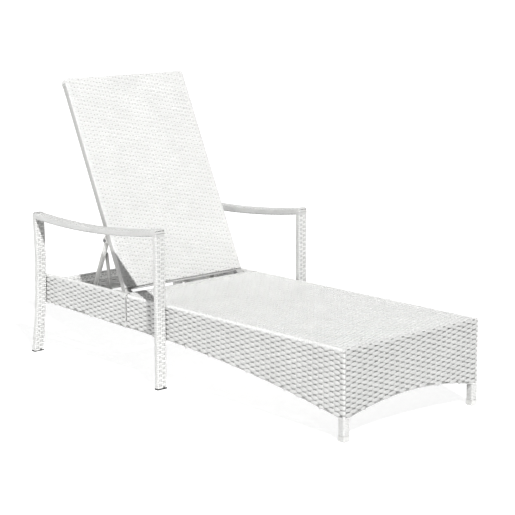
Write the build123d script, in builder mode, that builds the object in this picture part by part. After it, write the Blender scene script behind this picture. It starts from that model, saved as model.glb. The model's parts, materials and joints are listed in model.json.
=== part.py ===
from build123d import *
import os

# Reclining sun lounger with a woven deck, woven skirts, bowed strap arms and a
# backrest held by a stay and a pair of notched racks.
# Millimetres. +Z up, floor at Z = 0, foot end at -Y, head end at +Y.
# Left is the -X side. X = 0 is the middle, Y = 0 the middle of the length.

os.makedirs("parts", exist_ok=True)

# ---- overall -------------------------------------------------------------
LENGTH = 1708.0                 # foot end to the toe of the rear arm legs
FOOT_Y = -LENGTH / 2
HALF_WIDTH = 330.0              # outside of the woven side skirts
DECK_Z = 311.0                  # top of the woven deck
SKIN = 5.0                      # depth of the woven skins
DECK_SKIN = 4.0
DECK_EDGE_R = 3.6
GAP = 0.2                       # assembly clearance between neighbours

# ---- front module --------------------------------------------------------
SEAM_Y = FOOT_Y + 1143.0        # end of the front module
TUBE = 23.0                     # width of the frame tubes
TUBE_WALL = 2.0
TUBE_BORE = TUBE - 5.0          # bore of the posts and the wrapped rails
RAIL_TOP = DECK_Z - DECK_SKIN - GAP
RAIL_DEEP = 30.0
INNER_X = 302.0                 # inner face of the side rails
TUBE_OUT_X = INNER_X + TUBE     # outer face of the hidden tubes
LEG = 28.0                      # wrapped corner leg
LEG_WRAP_TOP = 78.0             # where the skirt takes over from the leg
FOOT_CAP_H = 20.0
FOOT_CHAMFER = 1.5
LEG_R = 3.0
LEG_WALL = 3.0
LEG_CAP = 4.0                   # solid top of the leg tube
SPIGOT_PLAY = 0.5
SPIGOT_DEEP = 18.0
SKIRT_REAR_Z = 184.0            # lower edge of the side skirt at the seam
SKIRT_RISE = 25.0               # height of its arch above the chord
FOOT_ARCH_Z = 116.0             # middle of the arch in the foot-end skirt
ROD = 6.0                       # square rod along the lower skirt edges
ROD_TRIM = 1.2                  # how far a rod stops short of its neighbours
POST_CLEAR = 4.0                # space between the front posts and the rod
REAR_POST_CLEAR = 1.0
DECK_BARS = 4
DECK_BAR_H = 16.0
DECK_BAR_PITCH = 218.0
DECK_BARS_MID = 560.0           # middle of the row, from the foot end
ARM_POST_Y = FOOT_Y + 915.0     # post behind the front arm leg

# ---- rear module ---------------------------------------------------------
REAR_Y = FOOT_Y + 1148.0        # start of the rear module
REAR_END_Y = FOOT_Y + 1690.0
REAR_RAIL = 28.0                # wrapped side rail, width
REAR_RAIL_DEEP = 30.0
REAR_RAIL_R = 5.0
HINGE_RAIL = 20.0               # cross rail in front of the backrest
HINGE_WALL = 3.0
PANEL_FRONT_Z = 184.0           # lower edge of the rear side panel
PANEL_REAR_Z = 201.0
CROSS_TOP = 282.0               # rear cross rail, lowered for the backrest
CROSS_DEEP = 28.0
MID_RAIL_TOP = 230.0
MID_RAIL_DEEP = 25.0

# ---- backrest ------------------------------------------------------------
HINGE_Y = FOOT_Y + 1197.6
HINGE_Z = 297.0
RECLINE = 65.0                  # angle above flat in the stored pose
BACK_HALF = 291.5
BACK_START = 16.6               # lower edge of the panel, along from the hinge
BACK_END = 863.6
BACK_THICK = 27.0
BACK_TUBE = 28.0
BACK_CORNER = 14.0
BACK_SKIN = 4.0
BACK_FRONT = -BACK_THICK / 2
BACK_TUBE_FRONT = BACK_FRONT + BACK_SKIN + GAP
BACK_SLATS = 3
BACK_SLAT_PITCH = 205.0
BACK_SLAT_W = 22.0
BACK_SLAT_T = 12.0
PIN_R = 5.0
PIN_PLAY = 0.05
PIN_HEAD_R = 8.5
PIN_HEAD_T = 4.0
PIN_HEAD_GAP = 0.5
EYE_R = 13.0                    # lower end of the backrest's side rails
BACK_EDGE_R = 4.0
HINGE_PLAY = 0.8                # between the hinge plate and the backrest
PLATE_LONG = 64.0               # hinge plate
PLATE_DEEP = 28.0
PLATE_R = 5.0
PLATE_AHEAD = 15.0              # its middle, past the pin and under the deck's top

# ---- stay, racks and links -----------------------------------------------
STAY_UP = 223.0                 # stay pivot, along the backrest
STAY_BACK = 28.8                # stay pivot, behind its middle plane
STAY_ANGLE = 24.0               # stay lean from upright in the stored pose
STAY_R = 9.0
STAY_WALL = 1.8
STAY_X = 278.0
BAR_R = 8.0
BAR_HALF = 295.0
BAR_CAP = 6.0
BAR_PLUG = 10.0                 # part of the cap inside the bar
EYE_SOLID = 14.0                # solid eye at the top of a stay leg
CHEEK = 3.0                     # thickness of the stay bracket cheeks
CHEEK_GAP = 0.5
CHEEK_FOOT = 18.0               # half width of a cheek at its foot
CHEEK_HEAD = 10.0
CHEEK_EYE_R = 10.5
BRACKET_HALF = 22.0             # half length of the bracket's base strap
BOLT_R = 3.0
BOLT_HEAD_R = 5.0
BOLT_HEAD_H = 4.5
BOLT_PROUD = 1.0                # bolt end past the inner cheek
RIVET_HEAD_H = 2.5
HEAD_GAP = 0.2                  # under a rivet or pin head
LINK_T = 4.0
LINK_W = 16.0
LINK_DOWN = 66.0                # upper link eye, along the stay
LINK_Y = FOOT_Y + 1318.0        # lower link pivot
LINK_Z = 246.0
LINK_CLEAR = 0.8                # between a link and the bracket's cheek
LINK_PLAY = 0.3                 # between a link and its lug
LUG_W = 20.0
LUG_EYE_R = 10.0
LUG_FOOT = 24.0
LUG_GAP = 0.1
RACK_T = 6.0
RACK_FRONT_Y = FOOT_Y + 1396.0
RACK_END_Y = FOOT_Y + 1656.0
RACK_DEEP = 20.0
RACK_PLAY = 0.7
NOTCHES = 6
NOTCH_END = 26.0                # last notch, ahead of the rack's end
NOTCH_LIFT = 3.0                # notch centre above the tooth tips
NOTCH_PLAY = 1.0
SCREW_DROP = 14.0               # rack screws, under the tooth tips
SCREW_HEAD_H = 1.9
SCREW_HEAD_GAP = 0.1
SCREW_PLAY = 0.1

# ---- arms ----------------------------------------------------------------
ARM_IN = HALF_WIDTH + 0.3
ARM_OUT = 373.0
ARM_WIDE = ARM_OUT - ARM_IN
ARM_X = (ARM_IN + ARM_OUT) / 2
ARM_FRONT_Y = FOOT_Y + 905.0
ARM_LEG_T = 20.0
ARM_THICK = 24.0
ARM_LOW_Y = FOOT_Y + 1410.0     # lowest point of the dished armrest
ARM_LOW_Z = 551.0
ARM_DISH = 6600.0               # twice the radius of the dish
BOW_LOW_Y = FOOT_Y + 1671.5     # waist of the bowed rear leg, rear face
BOW_Z = 390.0
BOW_DISH = 4110.0
BOW_T = 21.5
ARM_REAR_Y = FOOT_Y + 1678.5
GLIDE = 3.0
ARM_EDGE_R = 3.0
BOW_GAP = 0.4                   # between the rear leg and the armrest
ARM_BOLT_IN = 14.0              # thread length inside the arm legs


def arm_top(y):
    """Height of the armrest's upper face."""
    return ARM_LOW_Z + (y - ARM_LOW_Y) ** 2 / ARM_DISH


def arm_under(y):
    """Height of the armrest's lower face."""
    return arm_top(y) - ARM_THICK


def bow_rear(z):
    """Y of the rear arm leg's rear face."""
    return BOW_LOW_Y + (z - BOW_Z) ** 2 / BOW_DISH


def along(s, offset):
    """Y, Z of a point on the raised backrest: s up it, offset behind it."""
    spot = Vector(s, -offset).rotate(Axis.Z, RECLINE)
    return HINGE_Y + spot.X, HINGE_Z + spot.Y


def bore_x(x_mid, length, radius, spots):
    """Drill through the current part along X at each (y, z)."""
    with Locations(*[(x_mid, y, z) for y, z in spots]):
        Cylinder(radius, length, rotation=(0, 90, 0), mode=Mode.SUBTRACT)


SIDES = (("left", -1), ("right", 1))
BORE_LONG = 120.0
PROFILE = Plane.YZ              # sketch X is world Y, sketch Y is world Z
BACK_PLANE = Plane(
    origin=(0, HINGE_Y, HINGE_Z),
    x_dir=(1, 0, 0),
    z_dir=Vector(0, 0, 1).rotate(Axis.X, RECLINE),
)                               # local X across, Y up the backrest, Z to its front

SKIRT_START_Y = FOOT_Y + LEG
SKIRT_MID_Y = (SKIRT_START_Y + SEAM_Y) / 2
SKIRT_MID_Z = (LEG_WRAP_TOP + SKIRT_REAR_Z) / 2 + SKIRT_RISE

RAIL_BOLT_Z = 292.0
ARM_POST_BOLT_Z = 215.0
REAR_BOLT_Z = 296.0
REAR_LOW_BOLT_Z = 228.0
FRONT_BOLTS = ((ARM_POST_Y, RAIL_BOLT_Z), (ARM_POST_Y, ARM_POST_BOLT_Z))
REAR_BOLTS = (
    (bow_rear(REAR_BOLT_Z) - BOW_T / 2, REAR_BOLT_Z),
    (bow_rear(REAR_LOW_BOLT_Z) - BOW_T / 2 + 1.0, REAR_LOW_BOLT_Z),
)
SEAM_BOLTS = ((-200.0, 286.0), (200.0, 286.0))

# ======================= front module ======================================
for side, sx in SIDES:
    # side rail, a square tube under the deck edge
    with BuildPart() as front_rail:
        with BuildSketch(Plane.XZ.offset(-(FOOT_Y + SKIN + GAP))):
            with Locations((sx * (INNER_X + TUBE / 2), RAIL_TOP - RAIL_DEEP / 2)):
                Rectangle(TUBE, RAIL_DEEP)
                Rectangle(
                    TUBE - 2 * TUBE_WALL,
                    RAIL_DEEP - 2 * TUBE_WALL,
                    mode=Mode.SUBTRACT,
                )
        extrude(amount=-(SEAM_Y - FOOT_Y - SKIN - 2 * GAP))
        bore_x(sx * (INNER_X + TUBE / 2), BORE_LONG, BOLT_R + GAP, FRONT_BOLTS[:1])
    front_rail.part.label = f"front_side_rail_{side}"
    export_step(front_rail.part, f"parts/front_side_rail_{side}.step")

    # corner leg: full size where it shows, slimmer inside the skirts
    with BuildPart() as leg:
        with BuildSketch(Plane.XY.offset(FOOT_CAP_H)):
            with Locations((sx * (INNER_X + LEG / 2), FOOT_Y + LEG / 2)):
                RectangleRounded(LEG, LEG, LEG_R)
        extrude(amount=LEG_WRAP_TOP - GAP - FOOT_CAP_H)
        with BuildSketch(Plane.XY.offset(LEG_WRAP_TOP - GAP)):
            with Locations((sx * (INNER_X + TUBE / 2), FOOT_Y + LEG / 2 + SKIN / 2)):
                Rectangle(TUBE - 2 * GAP, TUBE - 2 * GAP)
        extrude(amount=RAIL_TOP - RAIL_DEEP - LEG_WRAP_TOP)
        with Locations((sx * (INNER_X + TUBE / 2), FOOT_Y + LEG / 2 + SKIN / 2, FOOT_CAP_H)):
            Box(
                TUBE - 2 * LEG_WALL,
                TUBE - 2 * LEG_WALL,
                2 * (RAIL_TOP - RAIL_DEEP - FOOT_CAP_H - LEG_CAP),
                mode=Mode.SUBTRACT,
            )
    leg.part.label = f"front_leg_{side}"
    export_step(leg.part, f"parts/front_leg_{side}.step")

    # woven side skirt with the arched lower edge
    with BuildPart() as skirt:
        with BuildSketch(PROFILE.offset(sx * (HALF_WIDTH - SKIN / 2))):
            with BuildLine():
                Polyline(
                    (SEAM_Y, SKIRT_REAR_Z),
                    (SEAM_Y, RAIL_TOP),
                    (FOOT_Y, RAIL_TOP),
                    (FOOT_Y, LEG_WRAP_TOP),
                    (SKIRT_START_Y, LEG_WRAP_TOP),
                )
                ThreePointArc(
                    (SKIRT_START_Y, LEG_WRAP_TOP),
                    (SKIRT_MID_Y, SKIRT_MID_Z),
                    (SEAM_Y, SKIRT_REAR_Z),
                )
            make_face()
        extrude(amount=SKIN / 2, both=True)
        bore_x(sx * HALF_WIDTH, BORE_LONG, BOLT_R + GAP, FRONT_BOLTS)
    skirt.part.label = f"front_side_skirt_{side}"
    export_step(skirt.part, f"parts/front_side_skirt_{side}.step")

    # rod behind the lower edge of the side skirt, between leg and seam post
    with BuildPart() as rod:
        with BuildSketch(PROFILE.offset(sx * (TUBE_OUT_X - GAP - ROD / 2))):
            with BuildLine():
                ThreePointArc(
                    (SKIRT_START_Y, LEG_WRAP_TOP),
                    (SKIRT_MID_Y, SKIRT_MID_Z),
                    (SEAM_Y, SKIRT_REAR_Z),
                )
                Line((SEAM_Y, SKIRT_REAR_Z), (SEAM_Y, SKIRT_REAR_Z + ROD))
                ThreePointArc(
                    (SEAM_Y, SKIRT_REAR_Z + ROD),
                    (SKIRT_MID_Y, SKIRT_MID_Z + ROD),
                    (SKIRT_START_Y, LEG_WRAP_TOP + ROD),
                )
                Line((SKIRT_START_Y, LEG_WRAP_TOP + ROD), (SKIRT_START_Y, LEG_WRAP_TOP))
            make_face()
        extrude(amount=ROD / 2, both=True)
        with Locations(
            (sx * TUBE_OUT_X, SKIRT_START_Y, LEG_WRAP_TOP),
            (sx * TUBE_OUT_X, SEAM_Y, SKIRT_REAR_Z),
        ):
            Box(2 * TUBE, 2 * ROD_TRIM, 3 * TUBE, mode=Mode.SUBTRACT)
    rod.part.label = f"front_skirt_rod_{side}"
    export_step(rod.part, f"parts/front_skirt_rod_{side}.step")

# plastic feet with a spigot into each leg
with BuildPart() as feet:
    for sx in (-1, 1):
        with BuildSketch(Plane.XY):
            with Locations((sx * (INNER_X + LEG / 2), FOOT_Y + LEG / 2)):
                RectangleRounded(LEG, LEG, LEG_R)
        extrude(amount=FOOT_CAP_H - GAP)
        with BuildSketch(Plane.XY.offset(FOOT_CAP_H - GAP)):
            with Locations((sx * (INNER_X + TUBE / 2), FOOT_Y + LEG / 2 + SKIN / 2)):
                Rectangle(
                    TUBE - 2 * LEG_WALL - 2 * SPIGOT_PLAY,
                    TUBE - 2 * LEG_WALL - 2 * SPIGOT_PLAY,
                )
        extrude(amount=SPIGOT_DEEP)
    for sole in feet.faces().group_by(Axis.Z)[0]:
        chamfer(sole.edges(), FOOT_CHAMFER)
feet.part.label = "foot_caps"
export_step(feet.part, "parts/foot_caps.step")

# posts behind the front arm legs, and the seam posts at the module's end
with BuildPart() as front_posts:
    for sx in (-1, 1):
        for post_y in (ARM_POST_Y, SEAM_Y - GAP - TUBE / 2):
            with BuildSketch(Plane.XY.offset(RAIL_TOP - RAIL_DEEP - GAP)):
                with Locations((sx * (INNER_X + TUBE / 2), post_y)):
                    Rectangle(TUBE - 2 * GAP, TUBE - 2 * GAP)
                    Rectangle(TUBE_BORE, TUBE_BORE, mode=Mode.SUBTRACT)
            extrude(amount=-(RAIL_TOP - RAIL_DEEP - SKIRT_REAR_Z - ROD - POST_CLEAR))
        bore_x(sx * (INNER_X + TUBE / 2), BORE_LONG, BOLT_R + GAP, FRONT_BOLTS[1:])
front_posts.part.label = "front_posts"
export_step(front_posts.part, "parts/front_posts.step")

# foot-end rail between the side rails
with BuildPart() as foot_rail:
    with BuildSketch(PROFILE):
        with Locations((FOOT_Y + SKIN + GAP + TUBE / 2, RAIL_TOP - RAIL_DEEP / 2)):
            Rectangle(TUBE, RAIL_DEEP)
            Rectangle(TUBE - 2 * TUBE_WALL, RAIL_DEEP - 2 * TUBE_WALL, mode=Mode.SUBTRACT)
    extrude(amount=INNER_X - GAP, both=True)
foot_rail.part.label = "foot_rail"
export_step(foot_rail.part, "parts/foot_rail.step")

# seam rail at the end of the front module
with BuildPart() as seam_rail:
    with BuildSketch(PROFILE):
        with Locations((SEAM_Y - GAP - TUBE / 2, RAIL_TOP - RAIL_DEEP / 2)):
            Rectangle(TUBE, RAIL_DEEP)
            Rectangle(TUBE - 2 * TUBE_WALL, RAIL_DEEP - 2 * TUBE_WALL, mode=Mode.SUBTRACT)
    extrude(amount=INNER_X - GAP, both=True)
    with Locations(*[(x, SEAM_Y - TUBE / 2, z) for x, z in SEAM_BOLTS]):
        Cylinder(BOLT_R + GAP, BORE_LONG, rotation=(90, 0, 0), mode=Mode.SUBTRACT)
seam_rail.part.label = "seam_rail"
export_step(seam_rail.part, "parts/seam_rail.step")

# cross bars that carry the woven deck
with BuildPart() as deck_bars:
    with BuildSketch(PROFILE):
        with Locations((FOOT_Y + DECK_BARS_MID, RAIL_TOP - DECK_BAR_H / 2)):
            with GridLocations(DECK_BAR_PITCH, 0, DECK_BARS, 1):
                Rectangle(TUBE, DECK_BAR_H)
                Rectangle(
                    TUBE - 2 * TUBE_WALL,
                    DECK_BAR_H - 2 * TUBE_WALL,
                    mode=Mode.SUBTRACT,
                )
    extrude(amount=INNER_X - GAP, both=True)
deck_bars.part.label = "deck_bars"
export_step(deck_bars.part, "parts/deck_bars.step")

# woven deck with rolled edges
with BuildPart() as deck:
    with BuildSketch(Plane.XY.offset(DECK_Z - DECK_SKIN)):
        with Locations((0, (FOOT_Y + SEAM_Y) / 2)):
            Rectangle(2 * HALF_WIDTH, SEAM_Y - FOOT_Y)
    extrude(amount=DECK_SKIN)
    top_edges = deck.faces().sort_by(Axis.Z)[-1].edges()
    fillet(top_edges.sort_by(Axis.Y)[:-1], DECK_EDGE_R)
deck.part.label = "deck_weave"
export_step(deck.part, "parts/deck_weave.step")

# woven foot-end skirt with a shallow arch
with BuildPart() as foot_skirt:
    with BuildSketch(Plane.XZ.offset(-FOOT_Y)):
        with BuildLine():
            Polyline(
                (INNER_X, LEG_WRAP_TOP),
                (HALF_WIDTH - SKIN - GAP, LEG_WRAP_TOP),
                (HALF_WIDTH - SKIN - GAP, RAIL_TOP),
                (-(HALF_WIDTH - SKIN - GAP), RAIL_TOP),
                (-(HALF_WIDTH - SKIN - GAP), LEG_WRAP_TOP),
                (-INNER_X, LEG_WRAP_TOP),
            )
            ThreePointArc(
                (-INNER_X, LEG_WRAP_TOP),
                (0, FOOT_ARCH_Z),
                (INNER_X, LEG_WRAP_TOP),
            )
        make_face()
    extrude(amount=-SKIN)
foot_skirt.part.label = "foot_skirt"
export_step(foot_skirt.part, "parts/foot_skirt.step")

# rod behind the arch of the foot-end skirt
with BuildPart() as foot_rod:
    with BuildSketch(Plane.XZ.offset(-(FOOT_Y + SKIN + GAP))):
        with BuildLine():
            ThreePointArc(
                (-INNER_X, LEG_WRAP_TOP),
                (0, FOOT_ARCH_Z),
                (INNER_X, LEG_WRAP_TOP),
            )
            Line((INNER_X, LEG_WRAP_TOP), (INNER_X, LEG_WRAP_TOP + ROD))
            ThreePointArc(
                (INNER_X, LEG_WRAP_TOP + ROD),
                (0, FOOT_ARCH_Z + ROD),
                (-INNER_X, LEG_WRAP_TOP + ROD),
            )
            Line((-INNER_X, LEG_WRAP_TOP + ROD), (-INNER_X, LEG_WRAP_TOP))
        make_face()
    extrude(amount=-ROD)
    with Locations((-INNER_X, FOOT_Y + ROD, LEG_WRAP_TOP), (INNER_X, FOOT_Y + ROD, LEG_WRAP_TOP)):
        Box(2 * GAP, 4 * ROD, 4 * ROD, mode=Mode.SUBTRACT)
foot_rod.part.label = "foot_skirt_rod"
export_step(foot_rod.part, "parts/foot_skirt_rod.step")

# ======================= rear module =======================================
PANEL_TOP = DECK_Z - REAR_RAIL_DEEP - GAP
MID_POSTS = (FOOT_Y + 1412.0, FOOT_Y + 1640.0)
REAR_POST_Y = REAR_END_Y - SKIN - GAP - TUBE / 2
for side, sx in SIDES:
    # wrapped side rail; its inner half shows beside the lowered backrest
    with BuildPart() as rear_rail:
        with BuildSketch(Plane.XZ.offset(-REAR_Y)):
            with Locations((sx * (INNER_X + REAR_RAIL / 2), DECK_Z - REAR_RAIL_DEEP / 2)):
                RectangleRounded(REAR_RAIL, REAR_RAIL_DEEP, REAR_RAIL_R)
                Rectangle(TUBE_BORE, TUBE_BORE, mode=Mode.SUBTRACT)
        extrude(amount=-(REAR_END_Y - REAR_Y))
        bore_x(sx * (INNER_X + REAR_RAIL / 2), BORE_LONG, BOLT_R + GAP, REAR_BOLTS[:1])
    rear_rail.part.label = f"rear_side_rail_{side}"
    export_step(rear_rail.part, f"parts/rear_side_rail_{side}.step")

    # woven side panel under the rail
    with BuildPart() as side_panel:
        with BuildSketch(PROFILE.offset(sx * (HALF_WIDTH - SKIN / 2))):
            with BuildLine():
                Polyline(
                    (REAR_Y, PANEL_FRONT_Z),
                    (REAR_END_Y, PANEL_REAR_Z),
                    (REAR_END_Y, PANEL_TOP),
                    (REAR_Y, PANEL_TOP),
                    close=True,
                )
            make_face()
        extrude(amount=SKIN / 2, both=True)
        bore_x(sx * HALF_WIDTH, BORE_LONG, BOLT_R + GAP, REAR_BOLTS[1:])
    side_panel.part.label = f"rear_side_panel_{side}"
    export_step(side_panel.part, f"parts/rear_side_panel_{side}.step")

    # rod behind the panel's lower edge
    with BuildPart() as panel_rod:
        with BuildSketch(PROFILE.offset(sx * (TUBE_OUT_X - GAP - ROD / 2))):
            with BuildLine():
                Polyline(
                    (REAR_Y, PANEL_FRONT_Z),
                    (REAR_END_Y, PANEL_REAR_Z),
                    (REAR_END_Y, PANEL_REAR_Z + ROD),
                    (REAR_Y, PANEL_FRONT_Z + ROD),
                    close=True,
                )
            make_face()
        extrude(amount=ROD / 2, both=True)
        with Locations((sx * TUBE_OUT_X, REAR_END_Y, PANEL_REAR_Z)):
            Box(2 * TUBE, 2 * (SKIN + GAP), 3 * TUBE, mode=Mode.SUBTRACT)
    panel_rod.part.label = f"rear_panel_rod_{side}"
    export_step(panel_rod.part, f"parts/rear_panel_rod_{side}.step")

# posts that hang from the side rails and stand on the rods
with BuildPart() as rear_posts:
    for sx in (-1, 1):
        for post_y in (REAR_Y + TUBE / 2, *MID_POSTS, REAR_POST_Y):
            with BuildSketch(Plane.XY.offset(PANEL_TOP)):
                with Locations((sx * (INNER_X + TUBE / 2), post_y)):
                    Rectangle(TUBE - 2 * GAP, TUBE - 2 * GAP)
                    Rectangle(TUBE_BORE, TUBE_BORE, mode=Mode.SUBTRACT)
            extrude(amount=-(PANEL_TOP - PANEL_REAR_Z - ROD - REAR_POST_CLEAR))
        bore_x(sx * (INNER_X + TUBE / 2), BORE_LONG, BOLT_R + GAP, REAR_BOLTS[1:])
rear_posts.part.label = "rear_posts"
export_step(rear_posts.part, "parts/rear_posts.step")

# hinge plates on the inner faces of the rails
PLATE_IN = BACK_HALF + HINGE_PLAY
with BuildPart() as hinge_plates:
    for sx in (-1, 1):
        with BuildSketch(PROFILE.offset(sx * (PLATE_IN + INNER_X - GAP) / 2)):
            with Locations((HINGE_Y + PLATE_AHEAD, DECK_Z - PLATE_AHEAD)):
                RectangleRounded(PLATE_LONG, PLATE_DEEP, PLATE_R)
            with Locations((HINGE_Y, HINGE_Z)):
                Circle(PIN_R + PIN_PLAY, mode=Mode.SUBTRACT)
        extrude(amount=(INNER_X - GAP - PLATE_IN) / 2, both=True)
hinge_plates.part.label = "hinge_plates"
export_step(hinge_plates.part, "parts/hinge_plates.step")

# hinge pins, each with a head on the inner side of a backrest rail
PIN_START = BACK_HALF - BACK_TUBE - PIN_HEAD_T
PIN_END = INNER_X - GAP - 1.0
with BuildPart() as hinge_pins:
    for sx in (-1, 1):
        with BuildSketch(PROFILE.offset(sx * PIN_START)):
            with Locations((HINGE_Y, HINGE_Z)):
                Circle(PIN_R)
        extrude(amount=sx * (PIN_END - PIN_START))
        with BuildSketch(PROFILE.offset(sx * (PIN_START - PIN_HEAD_GAP))):
            with Locations((HINGE_Y, HINGE_Z)):
                Circle(PIN_HEAD_R)
        extrude(amount=sx * PIN_HEAD_T)
hinge_pins.part.label = "hinge_pins"
export_step(hinge_pins.part, "parts/hinge_pins.step")

# hinge rail, wrapped, level with the deck
with BuildPart() as hinge_rail:
    with BuildSketch(PROFILE):
        with Locations((REAR_Y + HINGE_RAIL / 2, DECK_Z - REAR_RAIL_DEEP / 2)):
            RectangleRounded(HINGE_RAIL, REAR_RAIL_DEEP, REAR_RAIL_R)
            Rectangle(
                HINGE_RAIL - 2 * HINGE_WALL,
                REAR_RAIL_DEEP - 2 * HINGE_WALL,
                mode=Mode.SUBTRACT,
            )
    extrude(amount=INNER_X - GAP, both=True)
    with Locations(*[(x, REAR_Y + HINGE_RAIL / 2, z) for x, z in SEAM_BOLTS]):
        Cylinder(BOLT_R + GAP, BORE_LONG, rotation=(90, 0, 0), mode=Mode.SUBTRACT)
hinge_rail.part.label = "hinge_rail"
export_step(hinge_rail.part, "parts/hinge_rail.step")

# bolts that join the two modules
SEAM_HEAD_Y = SEAM_Y - 2 * GAP - TUBE
SEAM_BOLT_LONG = REAR_Y + HINGE_RAIL - SEAM_HEAD_Y
with BuildPart() as seam_bolts:
    with Locations(*[(x, SEAM_HEAD_Y, z) for x, z in SEAM_BOLTS]):
        Cylinder(
            BOLT_R,
            SEAM_BOLT_LONG,
            rotation=(-90, 0, 0),
            align=(Align.CENTER, Align.CENTER, Align.MIN),
        )
    with Locations(*[(x, SEAM_HEAD_Y, z) for x, z in SEAM_BOLTS]):
        Cylinder(
            BOLT_HEAD_R,
            BOLT_HEAD_H,
            rotation=(90, 0, 0),
            align=(Align.CENTER, Align.CENTER, Align.MIN),
        )
seam_bolts.part.label = "seam_bolts"
export_step(seam_bolts.part, "parts/seam_bolts.step")

# rear cross rail, lowered so that the flat backrest lies over it
with BuildPart() as rear_cross:
    with BuildSketch(PROFILE):
        with Locations((REAR_END_Y - CROSS_DEEP / 2, CROSS_TOP - CROSS_DEEP / 2)):
            RectangleRounded(CROSS_DEEP, CROSS_DEEP, REAR_RAIL_R)
            Rectangle(TUBE_BORE, TUBE_BORE, mode=Mode.SUBTRACT)
    extrude(amount=INNER_X - GAP, both=True)
rear_cross.part.label = "rear_cross_rail"
export_step(rear_cross.part, "parts/rear_cross_rail.step")

# woven panel that closes the head end of the base
with BuildPart() as rear_panel:
    with BuildSketch(Plane.XZ.offset(-REAR_END_Y)):
        with Locations((0, (CROSS_TOP - CROSS_DEEP - GAP + PANEL_REAR_Z) / 2)):
            Rectangle(
                2 * (HALF_WIDTH - SKIN - GAP),
                CROSS_TOP - CROSS_DEEP - GAP - PANEL_REAR_Z,
            )
    extrude(amount=SKIN)
rear_panel.part.label = "rear_panel"
export_step(rear_panel.part, "parts/rear_panel.step")

# rod behind its lower edge
with BuildPart() as rear_rod:
    with BuildSketch(PROFILE):
        with Locations((REAR_END_Y - SKIN - GAP - ROD / 2, PANEL_REAR_Z + ROD / 2)):
            Rectangle(ROD, ROD)
    extrude(amount=INNER_X - GAP, both=True)
rear_rod.part.label = "rear_panel_rod"
export_step(rear_rod.part, "parts/rear_panel_rod.step")

# cross rail that carries the lower link pivots
LINK_IN = STAY_X - STAY_R - CHEEK_GAP - CHEEK - LINK_CLEAR - LINK_T
LINK_LUG_IN = LINK_IN + LINK_T + LINK_PLAY
with BuildPart() as mid_rail:
    with BuildSketch(PROFILE):
        with Locations((LINK_Y, MID_RAIL_TOP - MID_RAIL_DEEP / 2)):
            Rectangle(TUBE, MID_RAIL_DEEP)
            Rectangle(TUBE_BORE, MID_RAIL_DEEP - TUBE + TUBE_BORE, mode=Mode.SUBTRACT)
    extrude(amount=TUBE_OUT_X - 2 * GAP, both=True)
mid_rail.part.label = "mid_cross_rail"
export_step(mid_rail.part, "parts/mid_cross_rail.step")

# lugs on that rail for the links
LUG_LOW = MID_RAIL_TOP + LUG_GAP
with BuildPart() as link_lugs:
    for sx in (-1, 1):
        with BuildSketch(PROFILE.offset(sx * LINK_LUG_IN)):
            with Locations((LINK_Y, (LINK_Z + LUG_LOW) / 2)):
                Rectangle(LUG_W, LINK_Z - LUG_LOW)
            with Locations((LINK_Y, LINK_Z)):
                Circle(LUG_EYE_R)
                Circle(BOLT_R + PIN_PLAY, mode=Mode.SUBTRACT)
        extrude(amount=sx * CHEEK)
        with BuildSketch(Plane.XY.offset(LUG_LOW)):
            with Locations((sx * (LINK_LUG_IN + LUG_FOOT / 2), LINK_Y)):
                Rectangle(LUG_FOOT, LUG_W)
        extrude(amount=CHEEK)
link_lugs.part.label = "link_lugs"
export_step(link_lugs.part, "parts/link_lugs.step")

# ======================= stay geometry =====================================
PIVOT_Y, PIVOT_Z = along(STAY_UP, STAY_BACK)
STAY_LONG = (STAY_UP**2 + STAY_BACK**2) ** 0.5
STAY_DIR = Vector(0, 0, -1).rotate(Axis.X, STAY_ANGLE)
BAR_Y = PIVOT_Y + STAY_LONG * STAY_DIR.Y
BAR_Z = PIVOT_Z + STAY_LONG * STAY_DIR.Z
SLOPE = (BAR_Z - HINGE_Z) / (BAR_Y - HINGE_Y)   # line the stay bar slides along


def tip_z(y):
    """Height of the rack's tooth tips."""
    return HINGE_Z + SLOPE * (y - HINGE_Y) - BAR_R - RACK_PLAY


for side, sx in SIDES:
    # notched rack the stay bar drops into
    with BuildPart() as rack:
        with BuildSketch(PROFILE.offset(sx * (INNER_X - GAP - RACK_T / 2))):
            with BuildLine():
                Polyline(
                    (RACK_FRONT_Y, tip_z(RACK_FRONT_Y)),
                    (RACK_END_Y, tip_z(RACK_END_Y)),
                    (RACK_END_Y, tip_z(RACK_END_Y) - RACK_DEEP),
                    (RACK_FRONT_Y, tip_z(RACK_FRONT_Y) - RACK_DEEP),
                    close=True,
                )
            make_face()
            for k in range(NOTCHES):
                notch_y = BAR_Y + k * (RACK_END_Y - BAR_Y - NOTCH_END) / (NOTCHES - 1)
                with Locations((notch_y, tip_z(notch_y) + NOTCH_LIFT)):
                    Circle(BAR_R + NOTCH_PLAY, mode=Mode.SUBTRACT)
            with Locations(*[(y, tip_z(y) - SCREW_DROP) for y in MID_POSTS]):
                Circle(BOLT_R, mode=Mode.SUBTRACT)
        extrude(amount=RACK_T / 2, both=True)
    rack.part.label = f"rack_{side}"
    export_step(rack.part, f"parts/rack_{side}.step")

# screws that hold the racks to the posts
RACK_IN = INNER_X - GAP - RACK_T
with BuildPart() as rack_screws:
    for sx in (-1, 1):
        for screw_y in MID_POSTS:
            screw_spot = (screw_y, tip_z(screw_y) - SCREW_DROP)
            with BuildSketch(PROFILE.offset(sx * (RACK_IN - SCREW_HEAD_GAP))):
                with Locations(screw_spot):
                    Circle(BOLT_HEAD_R)
            extrude(amount=-sx * SCREW_HEAD_H)
            with BuildSketch(PROFILE.offset(sx * (RACK_IN - 2 * SCREW_HEAD_GAP))):
                with Locations(screw_spot):
                    Circle(BOLT_R - SCREW_PLAY)
            extrude(amount=sx * RACK_T)
rack_screws.part.label = "rack_screws"
export_step(rack_screws.part, "parts/rack_screws.step")

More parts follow.
